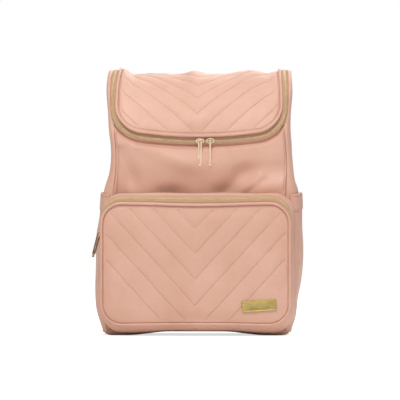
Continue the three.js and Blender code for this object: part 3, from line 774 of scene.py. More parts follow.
def level_to_front(z):
    phi = np.arcsin(np.clip((z - DOME_BASE) / DOME_RISE, 0, 1))
    return np.where(z < DOME_BASE, z, DOME_BASE + DOME_SCALE * phi)


def level_to_back(z):
    psi = np.arccos(np.clip((z - HEIGHT + TOP_ROLL) / TOP_ROLL, 0, 1))
    return np.where(z > HEIGHT - TOP_ROLL, S_HINGE + TOP_ROLL * psi, S_BACK + HEIGHT - TOP_ROLL - z)


def side_swell(middle, z):
    """How far the middle of a side panel stands out (the filled base) or falls in (the slack waist)."""
    return (2.4 * np.sin(math.pi * middle) * smooth(8, 60, z) * smooth(250, 215, z)
            - 5.0 * np.sin(math.pi * middle) ** 2 * bump(z, 270, 34))


def on_side(side, front_d=SEAM_EDGE, back_d=SEAM_EDGE):
    """A side of the bag as surface(u, z, height): u runs from the front seam round both rolled edges."""

    def surface(u, z, height):
        u, z, height, front = np.broadcast_arrays(np.asarray(u, float), z, height, front_d)
        edge = half_width(z) + edge_roll(z) * (QUARTER - 1)
        front_u = np.clip(u / ROLL_SHARE, 0, 1)
        back_u = np.clip((1 - u) / ROLL_SHARE, 0, 1)
        front = on_bag(side * (front + (edge - front) * front_u), level_to_front(z), height)
        back = on_bag(side * (back_d + (edge - back_d) * back_u), level_to_back(z), height)
        middle = np.clip((u - ROLL_SHARE) / (1 - 2 * ROLL_SHARE), 0, 1)[..., None]
        point = front * (1 - middle) + back * middle
        point[..., 0] += side * side_swell(middle[..., 0], z)
        return point

    return surface


def side_front_edge(z, offset, seam=SEAM_EDGE):
    """Where the side panel starts: at the upright seam, then along the lid zip."""
    s = level_to_front(z)
    return np.where(s < zip_low(seam, offset), seam, np.maximum(seam, zip_reach(s, offset)))


def side_levels(low=BASE_RIM + 0.2, rows=66):
    lower = np.linspace(low, DOME_BASE, rows, endpoint=False)
    upper = DOME_BASE + DOME_RISE * np.sin(np.linspace(0, QUARTER, 40))
    return np.concatenate([lower, upper[:-1], [HEIGHT - 0.05]])


def make_side_panel(name, side):
    u, z = grid(SIDE_U, side_levels())
    by_zip = smooth(296, 312, z)
    front_seam = -1.0 * bump(u, 0, 0.01) * (1 - by_zip) - 3.0 * bump(u, 0, 0.03) * by_zip
    back_seam = -1.5 * bump(u, 1, 0.012) - 0.9 * smooth(0.85, 1, u)
    ruck = 0.9 * np.sin(z / 17 + 2.4 * u + side) * bump(z, 255, 45) * np.sin(math.pi * u)
    surface = on_side(side, side_front_edge(z, BODY_EDGE))
    piece(f"side_panel_{name}_skin", [skin(surface, u, z, front_seam + back_seam + ruck)], PINK, "bag",
          f"side_panel_{name}", edge=0.4)


def base_arch(x):
    """The base rests on its ends and is a little hollow between them."""
    return 5.5 * smooth(104, 40, np.abs(x))


BASE_ROLL = 15.0
CORNER_PACE = 4.0  # how much faster than a circle the base's outline runs through its straight sides


def base_point(angle, sink, height=0.0):
    """The turned-up base: sink is 0 at the rim, 1 at the underside's edge and 2 at its middle."""
    beta = np.clip(sink, 0, 1) * QUARTER
    inward = BASE_ROLL * (1 - np.cos(beta)) - height * np.cos(beta)
    z = (BASE_RIM - 0.3) * (1 - np.sin(beta)) - height * np.sin(beta)
    half = half_width(0) + 0.5 - inward
    depth = (BACK - FRONT) / 2 - inward
    radius = np.maximum(EDGE_ROLL - inward, 3.0)
    cos, sin = np.cos(angle), np.sin(angle)
    towards = 1 - np.clip(sink - 1, 0, 1)
    x = (np.clip(cos * CORNER_PACE, -1, 1) * (half - radius) + radius * cos) * towards
    y = (np.clip(sin * CORNER_PACE, -1, 1) * (depth - radius) + radius * sin) * towards
    return stack(x + LEAN[0][1], y + (FRONT + BACK) / 2, z + base_arch(x) * np.sin(beta))


def make_base():
    corner = math.asin(1 / CORNER_PACE)
    angles = []
    for quarter in range(4):
        middle = quarter * QUARTER
        count = 46 if quarter % 2 else 22
        angles.extend(np.linspace(middle - corner, middle + corner, count, endpoint=False))
        angles.extend(np.linspace(middle + corner, middle + QUARTER - corner, 9, endpoint=False))
    sinks = np.concatenate([np.linspace(0, 1, 9), [1.1, 1.3, 1.55, 1.8, 1.97]])
    points, faces = skin(base_point, *grid(angles, sinks), wrap=True)
    # the small hole left at the middle gets two caps in place of its rim, whose faces come last
    count, rows = len(angles), len(sinks)
    caps = [[(layer * count + i + 1) * rows - 1 for i in range(count)] for layer in (0, 1)]
    piece("base_panel_skin", [(points, faces[:-count].tolist() + caps)], PINK_EDGE, "bag", "base_panel",
          edge=0.4, slot="coated_fabric")


# ------------------------------------------------------------------ lid

LID_CHEVRONS = tuple(DOME_BASE + start for start in (-59, -22, 15, 48, 76, 104, 132))
LID_CHEVRON_X = -2.8  # centre line of the lid's chevrons
LID_CHEVRON_HALF = 114.0


def quilt(x, s, starts, slope, depth, puff):
    """Height of a quilted panel: V-shaped sewn channels with soft padding between; x is from their middle."""
    value = s - slope * np.abs(x)
    nearest = np.min(np.abs(value[..., None] - np.array(starts)), axis=-1) / math.hypot(1, slope)
    return puff * (0.5 - np.exp(-nearest / 5.0)) - depth * np.exp(-nearest / 0.9)


def over_zip(s):
    """How far the lid's lower edge stands proud of the zip below it."""
    return 2.6 * smooth(340, 304, s)


def on_lid(d, s, height=0.0):
    """The quilted lid, raised above the bag's surface."""
    low = zip_low(d, LID_EDGE)
    edge = np.minimum(s - low, zip_reach(s, LID_EDGE) - np.abs(d))
    edge = np.where(s < zip_geometry(0)[1], np.minimum(edge, (s - low) * 0.8), edge)
    held = smooth(-0.5, 9, edge)
    flush = smooth(336, 306, s)  # along its lower run the lid is filled up to the piping
    quilted = quilt(d - LID_CHEVRON_X, s, LID_CHEVRONS, 1.0, 0.55, 0.9) * smooth(1, 6, edge)
    rim = 1.8 * flush * (1 - held) - 1.6 * (1 - 0.85 * flush) * smooth(1.6, -0.2, edge)
    return on_bag(d, s, 0.3 + 1.5 * held + quilted + rim + over_zip(s) + height)


def make_lid():
    corner_d, *_, corner = zip_geometry(LID_EDGE)
    reach = corner_d + corner
    d = reach * crowded(171, 80)
    d[0], d[-1] = -reach + 0.02, reach - 0.02
    t = spread(0, 1, 130, 1.1, 1.0)
    d_at, s_at = columns(d, zip_low(d, LID_EDGE), S_HINGE - 0.4, t)
    parts = sheet_parts(on_lid(d_at, s_at), on_bag(d_at, s_at, -LEATHER))
    piece("lid_skin", [parts], PINK, LID_CLOTH, "lid_panel", edge=0.5)
    d_at, s_at = columns(d, zip_low(d, LID_EDGE + 2), S_HINGE - 0.6, t[::3])
    ripple = 0.35 * np.sin(d_at / 9) * np.sin(s_at / 23)
    parts = skin(on_bag, d_at, s_at, ripple - 3.3, CLOTH)
    piece("lid_lining_cloth", [parts], LINING, LID_CLOTH, "lid_lining", edge=0.3)


def make_lid_stitches():

    def inside(d, s):
        return (s > zip_low(d, LID_EDGE - 3)) & (s < S_HINGE - 6) & (np.abs(d) < LID_CHEVRON_HALF)

    reach = np.linspace(0, LID_CHEVRON_HALF, 160)
    parts = chevron_stitches(on_lid, LID_CHEVRONS, 1.0, LID_CHEVRON_X, reach, inside, 0.05)
    path, normal = zip_line(S_HINGE - 4)
    parts.append(stitch_parts(path + normal * (LID_EDGE - 2.6), on_lid, radius=STRONG_THREAD))
    sew("lid", parts, LID_CLOTH)


def make_lid_piping():
    path, normal = zip_line(S_HINGE - 1, 2.2)
    d, s = (path + normal * PIPING_OFFSET).T
    stand = 1.1 + over_zip(s)
    centre = on_bag(d, s, stand)
    radius = PIPING_RADIUS + wrinkle(len(path), 1.9, 0.7)
    cord = tube_parts(centre, radius, 12, up=on_bag(d, s, stand + 1) - centre)
    piece("lid_piping_cord", [cord], PINK_EDGE, LID_CLOTH, "lid_piping")


# ------------------------------------------------------------------ zips

TOOTH = 2.5  # spacing of the teeth on one tape
TOOTH_NEAR, TOOTH_FAR = -0.45, 2.0  # a tooth reaches a little past the zip's middle, between the other row's


def teeth_parts(surface, path, sign, level, phase):
    """A row of teeth along a zip's line; sign is the side of the line that its tape is on."""
    corners = ((-0.8, TOOTH_NEAR), (0.8, TOOTH_NEAR), (0.8, TOOTH_FAR), (-0.8, TOOTH_FAR))
    tooth = lofted([[(x * grow, sign * (0.7 + (y - 0.7) * grow), z) for x, y in corners]
                    for z, grow in ((-0.9, 1.0), (0.1, 1.0), (0.5, 0.72))])

    def places(length):
        return (np.arange(int(length / TOOTH) - 1) + 0.5 + phase) * TOOTH

    return repeated(tooth, path, surface, level, level, places)


def make_lid_zip():
    path, normal = zip_line(S_HINGE - 3)
    level = -0.5
    # node, body, side of the zip's line, where its tape starts and ends, and its line of stitches
    for node, body, sign, near, far, sewn in (
            ("body_zip_tape", "bag", -1, 0.12, BODY_TAPE, BODY_TAPE - 0.9),
            ("lid_zip_tape", LID_CLOTH, 1, -0.12, LID_EDGE - 1.4, 0.9 - LID_TAPE)):
        offsets = np.linspace(near, far, 7)
        d, s = (path[:, k, None] + normal[:, k, None] * offsets for k in (0, 1))
        piece(node + "_cloth", [skin(on_bag, d, s, level, TAPE_THICKNESS)], TAPE, body, node, edge=0.15)
        piece(node + "_teeth", [teeth_parts(on_bag, path, sign, level + 0.5, 0.25 * sign)], TEETH, body)
        seam = stitch_parts(path + normal * sewn, lambda d, s, h: on_bag(d, s, level + h), 2.6, 0.22)
        sew(node, [seam], body, slot="zip_tape")


# ------------------------------------------------------------------ zip sliders and pulls

BAR_HEIGHT = 3.4  # of the bridge's middle above the slider's plate
SLIDER_PLATE = 1.4
PULL_LENGTH = 38.0


def rotate(points, axis, degrees):
    """Points turned about an axis through the origin by the right-hand rule."""
    c, s = math.cos(math.radians(degrees)), math.sin(math.radians(degrees))
    turns = {"X": [[1, 0, 0], [0, c, -s], [0, s, c]], "Y": [[c, 0, s], [0, 1, 0], [-s, 0, c]],
             "Z": [[c, -s, 0], [s, c, 0], [0, 0, 1]]}
    return points @ np.array(turns[axis]).T


def moved(parts, turns, offset):
    """The parts turned by (axis, degrees) in order, then moved."""
    result = []
    for points, faces in parts:
        for axis, degrees in turns:
            points = rotate(points, axis, degrees)
        result.append((points + np.asarray(offset), faces))
    return result


def slider_parts(wide, high):
    """An oval slider facing -Y: a recessed plate, and the bridge that holds the pull with a thick rim."""
    turn = np.linspace(0, 2 * math.pi, 36, endpoint=False)
    plate = lofted([stack(k * wide / 2 * np.cos(turn), y, k * high / 2 * np.sin(turn))
                    for k, y in ((0.86, 0.0), (0.92, -0.3), (0.92, -0.5), (0.74, -0.6), (0.3, -0.62))])
    t = np.linspace(0, math.pi, 15)
    arch = stack(-3.9 * np.cos(t), -1.2 - (BAR_HEIGHT + 0.1) * np.sin(t) ** 0.55, 0)
    bridge = tube_parts(arch, 0.55, 8, squash=1.3, up=(0, 0, 1))
    # the rim is heavier on its lower side, where the pull rests
    turn = np.linspace(0, 2 * math.pi, 44, endpoint=False)
    path = stack((wide / 2 - 0.9) * np.cos(turn), -1.0, (high / 2 - 0.9) * np.sin(turn))
    rim = tube_parts(path, 0.95 + 0.3 * smooth(0.2, -1.0, np.sin(turn)), 8, closed=True)
    return [plate], [bridge, rim]


def pull_parts(length, width):
    """A long narrow loop with a rounded end bead, hanging from the origin down to -Z in the YZ plane."""
    wire = 1.25
    half = width / 2 - wire
    pinch = half * 0.7
    low = 6.2 - length
    t = np.linspace(0, math.pi, 13)
    upper = stack(0, half * np.cos(t), 0.2 + half * np.sin(t))
    lower = stack(0, -pinch * np.cos(t), low - pinch * np.sin(t))
    down = np.linspace(0.12, 0.88, 12)[:, None]
    path = np.concatenate([upper, upper[-1] * (1 - down) + lower[0] * down,
                           lower, lower[-1] * (1 - down) + upper[0] * down])
    loop = tube_parts(path, wire * (0.55 + 0.45 * smooth(-2.5, -6, path[:, 2])), 9, closed=True, up=(1, 0, 0))
    foot = low - pinch
    neck = tube_parts(stack(0, 0, np.linspace(foot + 0.2, foot - 1.4, 4)), 0.95)
    t = np.linspace(0, 1, 12)
    bead = tube_parts(stack(0, 0, foot - 1.0 - 3.6 * t), 0.35 + 1.55 * np.sin(math.pi * t) ** 0.6, 14)
    return [loop, neck, bead]


def make_slider(slider, pull, axis, size, turns, pull_size, pull_turns, pull_material):
    """A slider whose back is its CAD node's far face along an axis (0 for X, 1 for Y), with its pull."""
    low, high = node_box(slider)
    spot = (low + high) / 2
    spot[axis] = high[axis]
    bar = spot.copy()
    bar[axis] -= SLIDER_PLATE + BAR_HEIGHT
    plate, rim = slider_parts(*size)
    piece(slider + "_frame", moved(rim, turns, spot), GOLD, slider, slider)
    # the plate inside the rim is painted in shade with the darker gold
    piece(slider + "_plate", moved(plate, turns, spot), PAINTED_SHADE_GOLD, slider)
    piece(pull + "_loop", moved(pull_parts(*pull_size), pull_turns, bar), pull_material, pull, pull)


def make_sliders():
    for name, twist in (("left", 72), ("right", 6)):
        low, high = node_box(f"lid_slider_{name}")
        lean = math.degrees(math.asin((low[0] + high[0]) / 2 / ZIP_ARC))
        make_slider(f"lid_slider_{name}", f"lid_pull_{name}", 1, (12.8, 8.4), [("Y", -lean)],
                    (PULL_LENGTH, 6.4), [("Z", twist)], GOLD)
    # the pocket's slider faces -X, its long way upright; its pull is painted in shade, a darker gold than the
    # lid pulls
    make_slider("pocket_slider", "pocket_pull", 0, (7.4, 12.8), [("Z", -90)],
                (PULL_LENGTH - 2, 6.0), [("X", -15), ("Z", -90)], PAINTED_SHADE_GOLD)


# ------------------------------------------------------------------ front pocket

POCKET_HALF, _, POCKET_TOP = node_box("pocket_gusset")[1]
POCKET_CORNER = 31.0
# The pocket's section from the bag to its face: y, half width, top, bottom.
POCKET_STATIONS = ((FRONT + 0.5, POCKET_HALF, POCKET_TOP - 1.8, 5.5),
                   (-72, POCKET_HALF + 0.8, POCKET_TOP - 1.2, 4.6),
                   (-81, POCKET_HALF, POCKET_TOP - 2.0, 5.2),
                   (-84.6, POCKET_HALF - 1.2, POCKET_TOP - 3.4, 6.5),
                   (-89.15, POCKET_HALF - 0.8, POCKET_TOP - 8.2, 9.5),
                   (-93.9, POCKET_HALF - 1.0, POCKET_TOP - 13.2, 13.0),
                   (FACE_Y + 1.2, POCKET_HALF - 1.9, POCKET_TOP - 16.0, 16.4))
ZIP_Y = POCKET_STATIONS[4][0]


def pocket_ring(t, half, top, bottom, radius):
    """A rounded rectangle in X and Z, from the bottom centre (t = 0) by the right side to t = 1."""
    t = np.asarray(t, float) % 1.0
    mirror = np.where(t > 0.5, -1.0, 1.0)
    t = np.where(t > 0.5, 1 - t, t) * 2
    # shares of the half outline: bottom run, corner, side, corner, top run
    marks = (0.0, 0.27, 0.36, 0.64, 0.73, 1.0)
    foot, lower, rise, upper, head = (np.clip((t - a) / (b - a), 0, 1) for a, b in zip(marks, marks[1:]))
    lower, upper = lower * QUARTER, upper * QUARTER
    x = (half - radius) * (foot - head) + radius * (np.sin(lower) + np.cos(upper) - 1)
    z = bottom + radius * (1 - np.cos(lower) + np.sin(upper)) + (top - bottom - 2 * radius) * rise
    return mirror * x, z


def pocket_lean(y):
    """The full pocket sags a little to the left towards its face."""
    return -3.4 * smooth(-66, -97, y)


def pocket_slump(x, y, z):
    """How far the pocket's face sags at the middle of its top and arches at the middle of its foot."""
    face = smooth(-80, -97, y)
    top = -3.0 * bump(x, 5, 75) * smooth(110, POCKET_TOP - 16, z) * face
    foot = 2.8 * smooth(104, 40, np.abs(x)) * smooth(50, 8, z)
    return top + foot * (1 - 0.6 * face)


def pocket_skin(t, y, height=0.0):
    """A place on the pocket's wall: t round its outline, y from the bag towards the face."""
    t, y, height = np.broadcast_arrays(np.asarray(t, float), y, height)
    stations = np.array(POCKET_STATIONS)[::-1].T
    half, top, bottom = (np.interp(y, stations[0], row) for row in stations[1:])
    x, z = pocket_ring(t, half + height, top + height, bottom - height, POCKET_CORNER + height)
    # the bevel that carries the zip faces forwards too
    forward = smooth(-80, -88, y) * smooth(POCKET_TOP - 60, POCKET_TOP - 20, z) * 0.75
    return stack(x + pocket_lean(y), y - height * forward, z + pocket_slump(x, y, z))


def pocket_t_at(z):
    """Outline place on the right side, at level z."""
    t = np.linspace(0.15, 0.42, 600)
    level = pocket_ring(t, POCKET_HALF - 2, POCKET_TOP - 8, 8, POCKET_CORNER)[1]
    return float(np.interp(z, level, t))


T_FOLD = pocket_t_at(FOLD_Z)


def make_pocket_gusset():
    rows = [FRONT - 0.2, -63.5, -66, -70, -74, -78, -81, -83, -84.3, -84.9]
    t, y = grid(np.linspace(0, 1, 300, endpoint=False), rows)
    # its rear edge follows the bag's rounded edges
    y[:, 0] += 9.0 * smooth(121, 135, np.abs(pocket_skin(t[:, 0], FRONT)[:, 0]))
    slack = 0.7 * np.sin(t * 2 * math.pi * 9 + 1.0) * bump(y, -72, 8)
    rear = skin(pocket_skin, t, y, slack - smooth(-84.2, -84.9, y), wrap=True)
    t, y = grid(np.linspace(-T_FOLD, T_FOLD, 150), [-83.6, -85, -88, -91, -94, -95.6])
    lower = skin(pocket_skin, t, y, 0.15)
    piece("pocket_gusset_skin", [rear, lower], PINK, "bag", "pocket_gusset", edge=0.4)


def make_pocket_lining():
    t, share = grid(np.linspace(0, 1, 160, endpoint=False), np.linspace(0.002, 1, 16))
    x, z = pocket_ring(t, 138, 208, 10, POCKET_CORNER - 4)
    middle = 109
    x, z = x * share, middle + (z - middle) * share
    outer = stack(x, -63.2 + 0.5 * np.sin(x / 19 + 1) * np.sin(z / 23) * (1 - share), z)
    parts = sheet_parts(outer, outer + [0, 0.8, 0], wrap=True)
    piece("pocket_lining_cloth", [parts], LINING, "bag", "pocket_lining", edge=0.2)


UNDER_PIPING = 1.4  # how far the front panel's edge lies in from the pocket's face, under the piping
PANEL_HALF = POCKET_STATIONS[-1][1] - UNDER_PIPING
PANEL_TOP = POCKET_STATIONS[-1][2] - UNDER_PIPING
PANEL_LOW = POCKET_STATIONS[-1][3] + UNDER_PIPING
PANEL_CORNER = POCKET_CORNER - UNDER_PIPING
PANEL_MIDDLE = (PANEL_TOP + PANEL_LOW) / 2
PANEL_SHAPE = (PANEL_HALF, (PANEL_TOP - PANEL_LOW) / 2, PANEL_CORNER)
POCKET_CHEVRONS = tuple(161.2 - 38.4 * k for k in range(-1, 6))
POCKET_SLOPE = 1.09
POCKET_CHEVRON_X = -0.6


def panel_edge(x, z):
    """Distance in from the edge of the pocket's front panel."""
    return inside_edge(x, z - PANEL_MIDDLE, *PANEL_SHAPE)


def panel_skin(x, z, height=0.0):
    """The pocket's quilted front panel, facing -Y."""
    edge = panel_edge(x, z)
    quilted = quilt(x - POCKET_CHEVRON_X, z, POCKET_CHEVRONS, POCKET_SLOPE, 0.6, 1.7)
    faded = quilted * smooth(2, 12, edge) * (0.35 + 0.65 * smooth(30, 100, z))
    softness = 1.2 * np.sin(x / 37 + 0.8) * np.sin(z / 29 + 0.5) + 0.8 * np.sin(x / 21 + z / 34)
    dents = ridges(x, z, (-1.8, (-134, 84), (-112, 58), 9), (-1.4, (128, 96), (112, 122), 9),
                   (1.2, (-126, 66), (-104, 44), 8))
    crown = 2.6 * smooth(0, 26, edge) - 2.4 * smooth(2.0, -0.5, edge)
    lift = crown + faded + (softness + dents) * smooth(4, 22, edge) * 0.8 + height
    return stack(x + pocket_lean(FACE_Y), FACE_Y + 2.6 - lift, z + pocket_slump(x, FACE_Y, z))


def make_pocket_panel():
    low, high = PANEL_LOW + PANEL_CORNER, PANEL_TOP - PANEL_CORNER
    rows = np.concatenate([low - PANEL_CORNER * np.cos(np.linspace(0, QUARTER, 17, endpoint=False)),
                           np.linspace(low, high, 92, endpoint=False),
                           high + PANEL_CORNER * np.sin(np.linspace(0, QUARTER, 17))])
    rows[0] += 0.02
    rows[-1] -= 0.02
    x = spread(-1, 1, 187, 1.12)[:, None] * rounded_reach(rows - PANEL_MIDDLE, *PANEL_SHAPE)
    outer = panel_skin(x, np.broadcast_to(rows, x.shape))
    inner = stack(outer[..., 0], np.maximum(outer[..., 1] + LEATHER, FACE_Y + 4.0), outer[..., 2])
    piece("pocket_panel_skin", [sheet_parts(outer, inner)], PINK, FLAP_CLOTH,
          "pocket_panel_upper", "pocket_panel_lower", edge=0.5)
    sew("pocket_quilt", chevron_stitches(panel_skin, POCKET_CHEVRONS, POCKET_SLOPE, POCKET_CHEVRON_X,
                                         np.linspace(0, PANEL_HALF, 200), lambda x, z: panel_edge(x, z) > 5,
                                         -0.02), FLAP_CLOTH)


def make_pocket_piping():
    t = np.linspace(0, 1, 340, endpoint=False)
    y = FACE_Y + 1.2
    cord = tube_parts(pocket_skin(t, y, -0.3), 2.15 + wrinkle(len(t), 1.7, 0.61), 12, closed=True)
    # its sewn edge runs from inside the cord to behind the panel
    t_at, share = grid(t, np.linspace(0, 1, 4))
    sewn = skin(pocket_skin, t_at, y + 4.7 * share, -0.1 - 2.3 * share, 0.6, wrap=True)
    piece("pocket_piping_cord", [cord, sewn], PINK_EDGE, FLAP_CLOTH,
          "pocket_piping_upper", "pocket_piping_lower")


# Each tape's course from the teeth: distance from the zip's middle, and depth below the tape's level.
BODY_COURSE = ((0.12, 0), (1.5, 0), (3.2, 0), (5.0, 0))
FLAP_COURSE = ((0.12, 0), (1.5, 0), (2.8, 0), (3.2, 0.5), (3.7, 1.6), (4.2, 2.4), (5.2, 2.7), (5.5, 4.5),
               (5.6, 9))


def make_pocket_zip():
    t = np.linspace(T_FOLD + 0.0008, 1 - T_FOLD - 0.0008, 260)
    path = np.stack([t, np.full_like(t, ZIP_Y)], 1)
    level = -0.6
    for body, node, side, course in (("bag", "pocket_zip_tape_body", 1, BODY_COURSE),
                                     ("pocket_flap", "pocket_zip_tape_flap", -1, FLAP_COURSE)):
        reach, depth = np.array(course).T
        tape = skin(pocket_skin, *grid(t, ZIP_Y + side * reach), level - depth, TAPE_THICKNESS)
        piece(node + "_cloth", [tape], TAPE, body, node, edge=0.15)
        teeth = teeth_parts(pocket_skin, path, -side, level + 0.05, 0.25 * side)
        piece(node + "_teeth", [teeth], TEETH, body)


def make_name_plate():
    low, high = node_box("name_plate")
    wide, tall, thick, tilt = 51.0, 16.5, 1.3, 4.2
    x, z = rounded_corners(wide / 2, tall / 2, 1.4, 5).T
    sunk = -0.72 * thick  # level of the face inside the plate's rim
    # share of the outline across and up, and level, from the back round the rim to the sunk face
    rings = ((1, 1, 0), (1, 1, -0.7 * thick), (0.99325, 0.985, -thick), (0.9685, 0.93, -thick),
             (0.96175, 0.915, sunk), (0.3, 0.3, sunk))
    parts = [lofted([stack(x * across, y, z * up) for across, up, y in rings])]
    # a row of plain raised chevrons in place of any mark
    for start in 4.4 * np.arange(-4, 5):
        for arm in (-2.4, 2.4):
            parts.append(tube_parts(np.linspace((start, sunk, 0), (start + 1.8, sunk, arm), 3), 0.34, 6))
    for end in (-22.6, 22.6):
        t = np.linspace(0, QUARTER, 5)
        rivet = stack(end, sunk - 0.75 * np.sin(t), 0)
        parts.append(tube_parts(rivet, 1.25 * np.cos(t) + 0.02, 14, up=(0, 0, 1)))
    centre = ((low[0] + high[0]) / 2, high[1], (low[2] + high[2]) / 2)
    piece("name_plate_metal", moved(parts, [("Y", -tilt)], centre), PLATE, "bag", "name_plate", edge=0.12)


# ------------------------------------------------------------------ side pockets

# How far out the side pockets reach at each level, on the left and on the right.
SIDE_REACH = {-1: ((5, 141.5), (12, 145), (20, 149), (32, 153.6), (114, 155), (156, 153.4), (178, 149.5),
                   (213, 146.4)),
              1: ((5, 136), (12, 139), (24, 143), (54, 148), (84, 152), (114, 153.6), (178, 152.8),
                  (213, 151.8))}
LEAST_STAND = 0.8  # a side pocket lies at least this far off the side panel


def make_side_pocket(name, side):
    (_, _, hem_low), (_, _, hem_top) = node_box(f"side_pocket_hem_{name}")
    on_panel = on_side(side)

    def on_pocket(u, z, height):
        arch = np.sin(math.pi * u)
        gather = 0.7 * np.sin(u * 74 + 3 * np.sin(u * 9)) * smooth(hem_low - 46, hem_low, z) * arch**0.5
        droop = 1.2 * np.sin(z / 23 + 5 * u) * smooth(10, 60, z) * smooth(hem_low, hem_low - 50, z) * arch
        body = half_width(z) + side * through(LEAN, z) + side_swell(0.5, z)
        stand = np.maximum(through(SIDE_REACH[side], z) - body, LEAST_STAND)
        lift = LEAST_STAND + (stand - LEAST_STAND) * arch**0.42 + gather + droop + height
        tucked = np.maximum(z, BASE_RIM + 1.0)
        point = on_panel(u, tucked, lift)
        point[..., 2] += z - tucked - 3.0 * smooth(0.3, 0.03, u) * smooth(150, hem_low, z)
        return point

    u = bands((0.035, ROLL_SHARE, 9), (ROLL_SHARE, 1 - ROLL_SHARE, 39), (1 - ROLL_SHARE, 0.985, 8))
    z = bands((5, 40, 14), (40, hem_low - 0.2, 49))
    piece(f"side_pocket_{name}_skin", [skin(on_pocket, *grid(u, z), 0.0, 1.3)], PINK, "bag",
          f"side_pocket_{name}", edge=0.4)
    u, z = grid(u, np.linspace(hem_low, hem_top, 13))
    middle = (hem_low + hem_top) / 2
    round_over = 1.0 - 0.9 * np.abs((z - middle) / (hem_top - middle)) ** 6
    hem = sheet_parts(on_pocket(u, z, 0.3 + round_over), on_pocket(u, z, -1.5))
    piece(f"side_pocket_{name}_hem", [hem], PINK_EDGE, "bag", f"side_pocket_hem_{name}", edge=0.6)
    sew(f"side_pocket_{name}", [stitch_parts(np.linspace((0.05, level), (0.97, level), 160),
                                             lambda u, z, height: on_pocket(u, z, 1.2 + height))
                                for level in (hem_low + 2.2, hem_top - 3.0)])


# ------------------------------------------------------------------ inside


def make_linings():
    low, high = node_box("main_lining")
    level, start_s = -5.0, 9
    d = np.linspace(-129, 129, 70)
    top = zip_low(d, 2.6)
    d_at, s_at = columns(d, start_s, top, np.linspace(0, 1, 40))
    ripple = 0.5 * np.sin(d_at / 15 + s_at / 40) - 4.5 * smooth(40, 14, top[:, None] - s_at)
    parts = [skin(on_bag, d_at, s_at, level + ripple, CLOTH)]
    for side in (-1, 1):
        u, z = grid(np.linspace(0, 0.97, 30), side_levels(start_s, 30)[:-2])
        surface = on_side(side, side_front_edge(z, 2.6, 124), SEAM_X)
        parts.append(skin(surface, u, z, level + 0.5 * np.sin(z / 19 + u * 7), CLOTH))
    x, z = grid(np.linspace(-130, 130, 50), np.linspace(start_s, HEIGHT - 16, 60))
    rear = stack(x, high[1] - 0.2 + 0.5 * np.sin(x / 17) * np.sin(z / 31), z)
    parts.append(sheet_parts(rear, rear - [0, CLOTH, 0]))
    x, y = grid(np.linspace(-136, 136, 40), np.linspace(FRONT + 6, high[1], 20))
    floor = stack(x, y, np.maximum(low[2] + 0.2, LEATHER + 3.2 + base_arch(x)))
    parts.append(sheet_parts(floor + [0, 0, CLOTH], floor))
    piece("main_lining_cloth", parts, LINING, "bag", "main_lining")


def pad_parts(low, high, corner, crown=0.0, edge=2.0, channels=0, step=5.0):
    """A closed pad facing +Y and -Y with rounded corners and a rounded edge; its middle swells by crown."""
    half_x, half_y, half_z = (np.array(high) - low) / 2
    shape = (half_x, half_z, corner)
    turn = np.linspace(0, QUARTER, 7, endpoint=False)
    straight = max(3, int((half_z - corner) * 2 / step))
    rows = np.concatenate([-half_z + corner * (1 - np.cos(turn)),
                           np.linspace(-half_z + corner, half_z - corner, straight, endpoint=False),
                           half_z - corner * (1 - np.cos(turn))])
    rows = np.unique(np.clip(rows, -half_z + 0.01, half_z - 0.01))
    x = crowded(max(9, int(half_x * 2 / step)), 75)[:, None] * rounded_reach(rows, *shape)
    z = np.broadcast_to(rows, x.shape)
    inside = inside_edge(x, z, *shape)
    round_edge = np.sqrt(1 - (1 - np.clip(inside / edge, 0, 1)) ** 2)
    half = half_y * (0.25 + 0.75 * round_edge) + crown * smooth(0, min(half_x, half_z), inside)
    if channels:
        phase = (z + half_z) / (2 * half_z) * channels
        half = half - 0.9 * np.exp(-np.abs(phase - np.round(phase)) * 14) * smooth(0, 8, inside)
    middle = (np.array(low) + high) / 2
    return sheet_parts(stack(x, -half, z) + middle, stack(x, half, z) + middle)


def make_inner_parts():
    for node, name, material, shape in (("laptop_divider", "_pad", LINING, {"crown": 0.3, "channels": 6}),
                                        ("back_foam", "_pad", FOAM, {"edge": 1.5}),
                                        ("inner_slip_pocket", "_cloth", LINING, {"edge": 0.7})):
        piece(node + name, [pad_parts(*node_box(node), 12, **shape)], material, "bag", node)
    low, high = node_box("base_board")
    x, y = grid(np.linspace(low[0], high[0], 60), np.linspace(low[1], high[1], 12))
    under = stack(x, y, LEATHER + 0.4 + base_arch(x))
    piece("base_board_sheet", [sheet_parts(under + [0, 0, 2.6], under)], BOARD, "bag", "base_board", edge=0.5)


# ------------------------------------------------------------------ shoulder straps


def strap_course(path, widths):
    """Shares t from 0 to 1 along a strap, and its centre, sideways and outward directions and width."""
    t = np.linspace(0, 1, 90)
    marks = np.linspace(0, 1, len(path))
    *centre, width = (through(list(zip(marks, values)), t) for values in (*np.transpose(path), widths))
    centre = np.stack(centre, 1)
    tangent = unit(np.gradient(centre, axis=0))
    across = unit(np.array([1.0, 0, 0]) - tangent * tangent[:, 0:1])
    return t, centre, across, np.cross(across, tangent), width


def strap_parts(course, thickness):
    """A band along a strap's course, full at its middle and thinner at its edges."""
    _, centre, across, outward, width = course
    u = np.linspace(-1, 1, 27)
    half = thickness / 2 * (0.45 + 0.55 * np.sqrt(np.maximum(1 - np.abs(u) ** 3, 0)))
    middle = centre[:, None, :] + across[:, None, :] * (u[None, :, None] * width[:, None, None] / 2)
    rise = outward[:, None, :] * half[None, :, None]
    return sheet_parts(middle + rise, middle - rise)


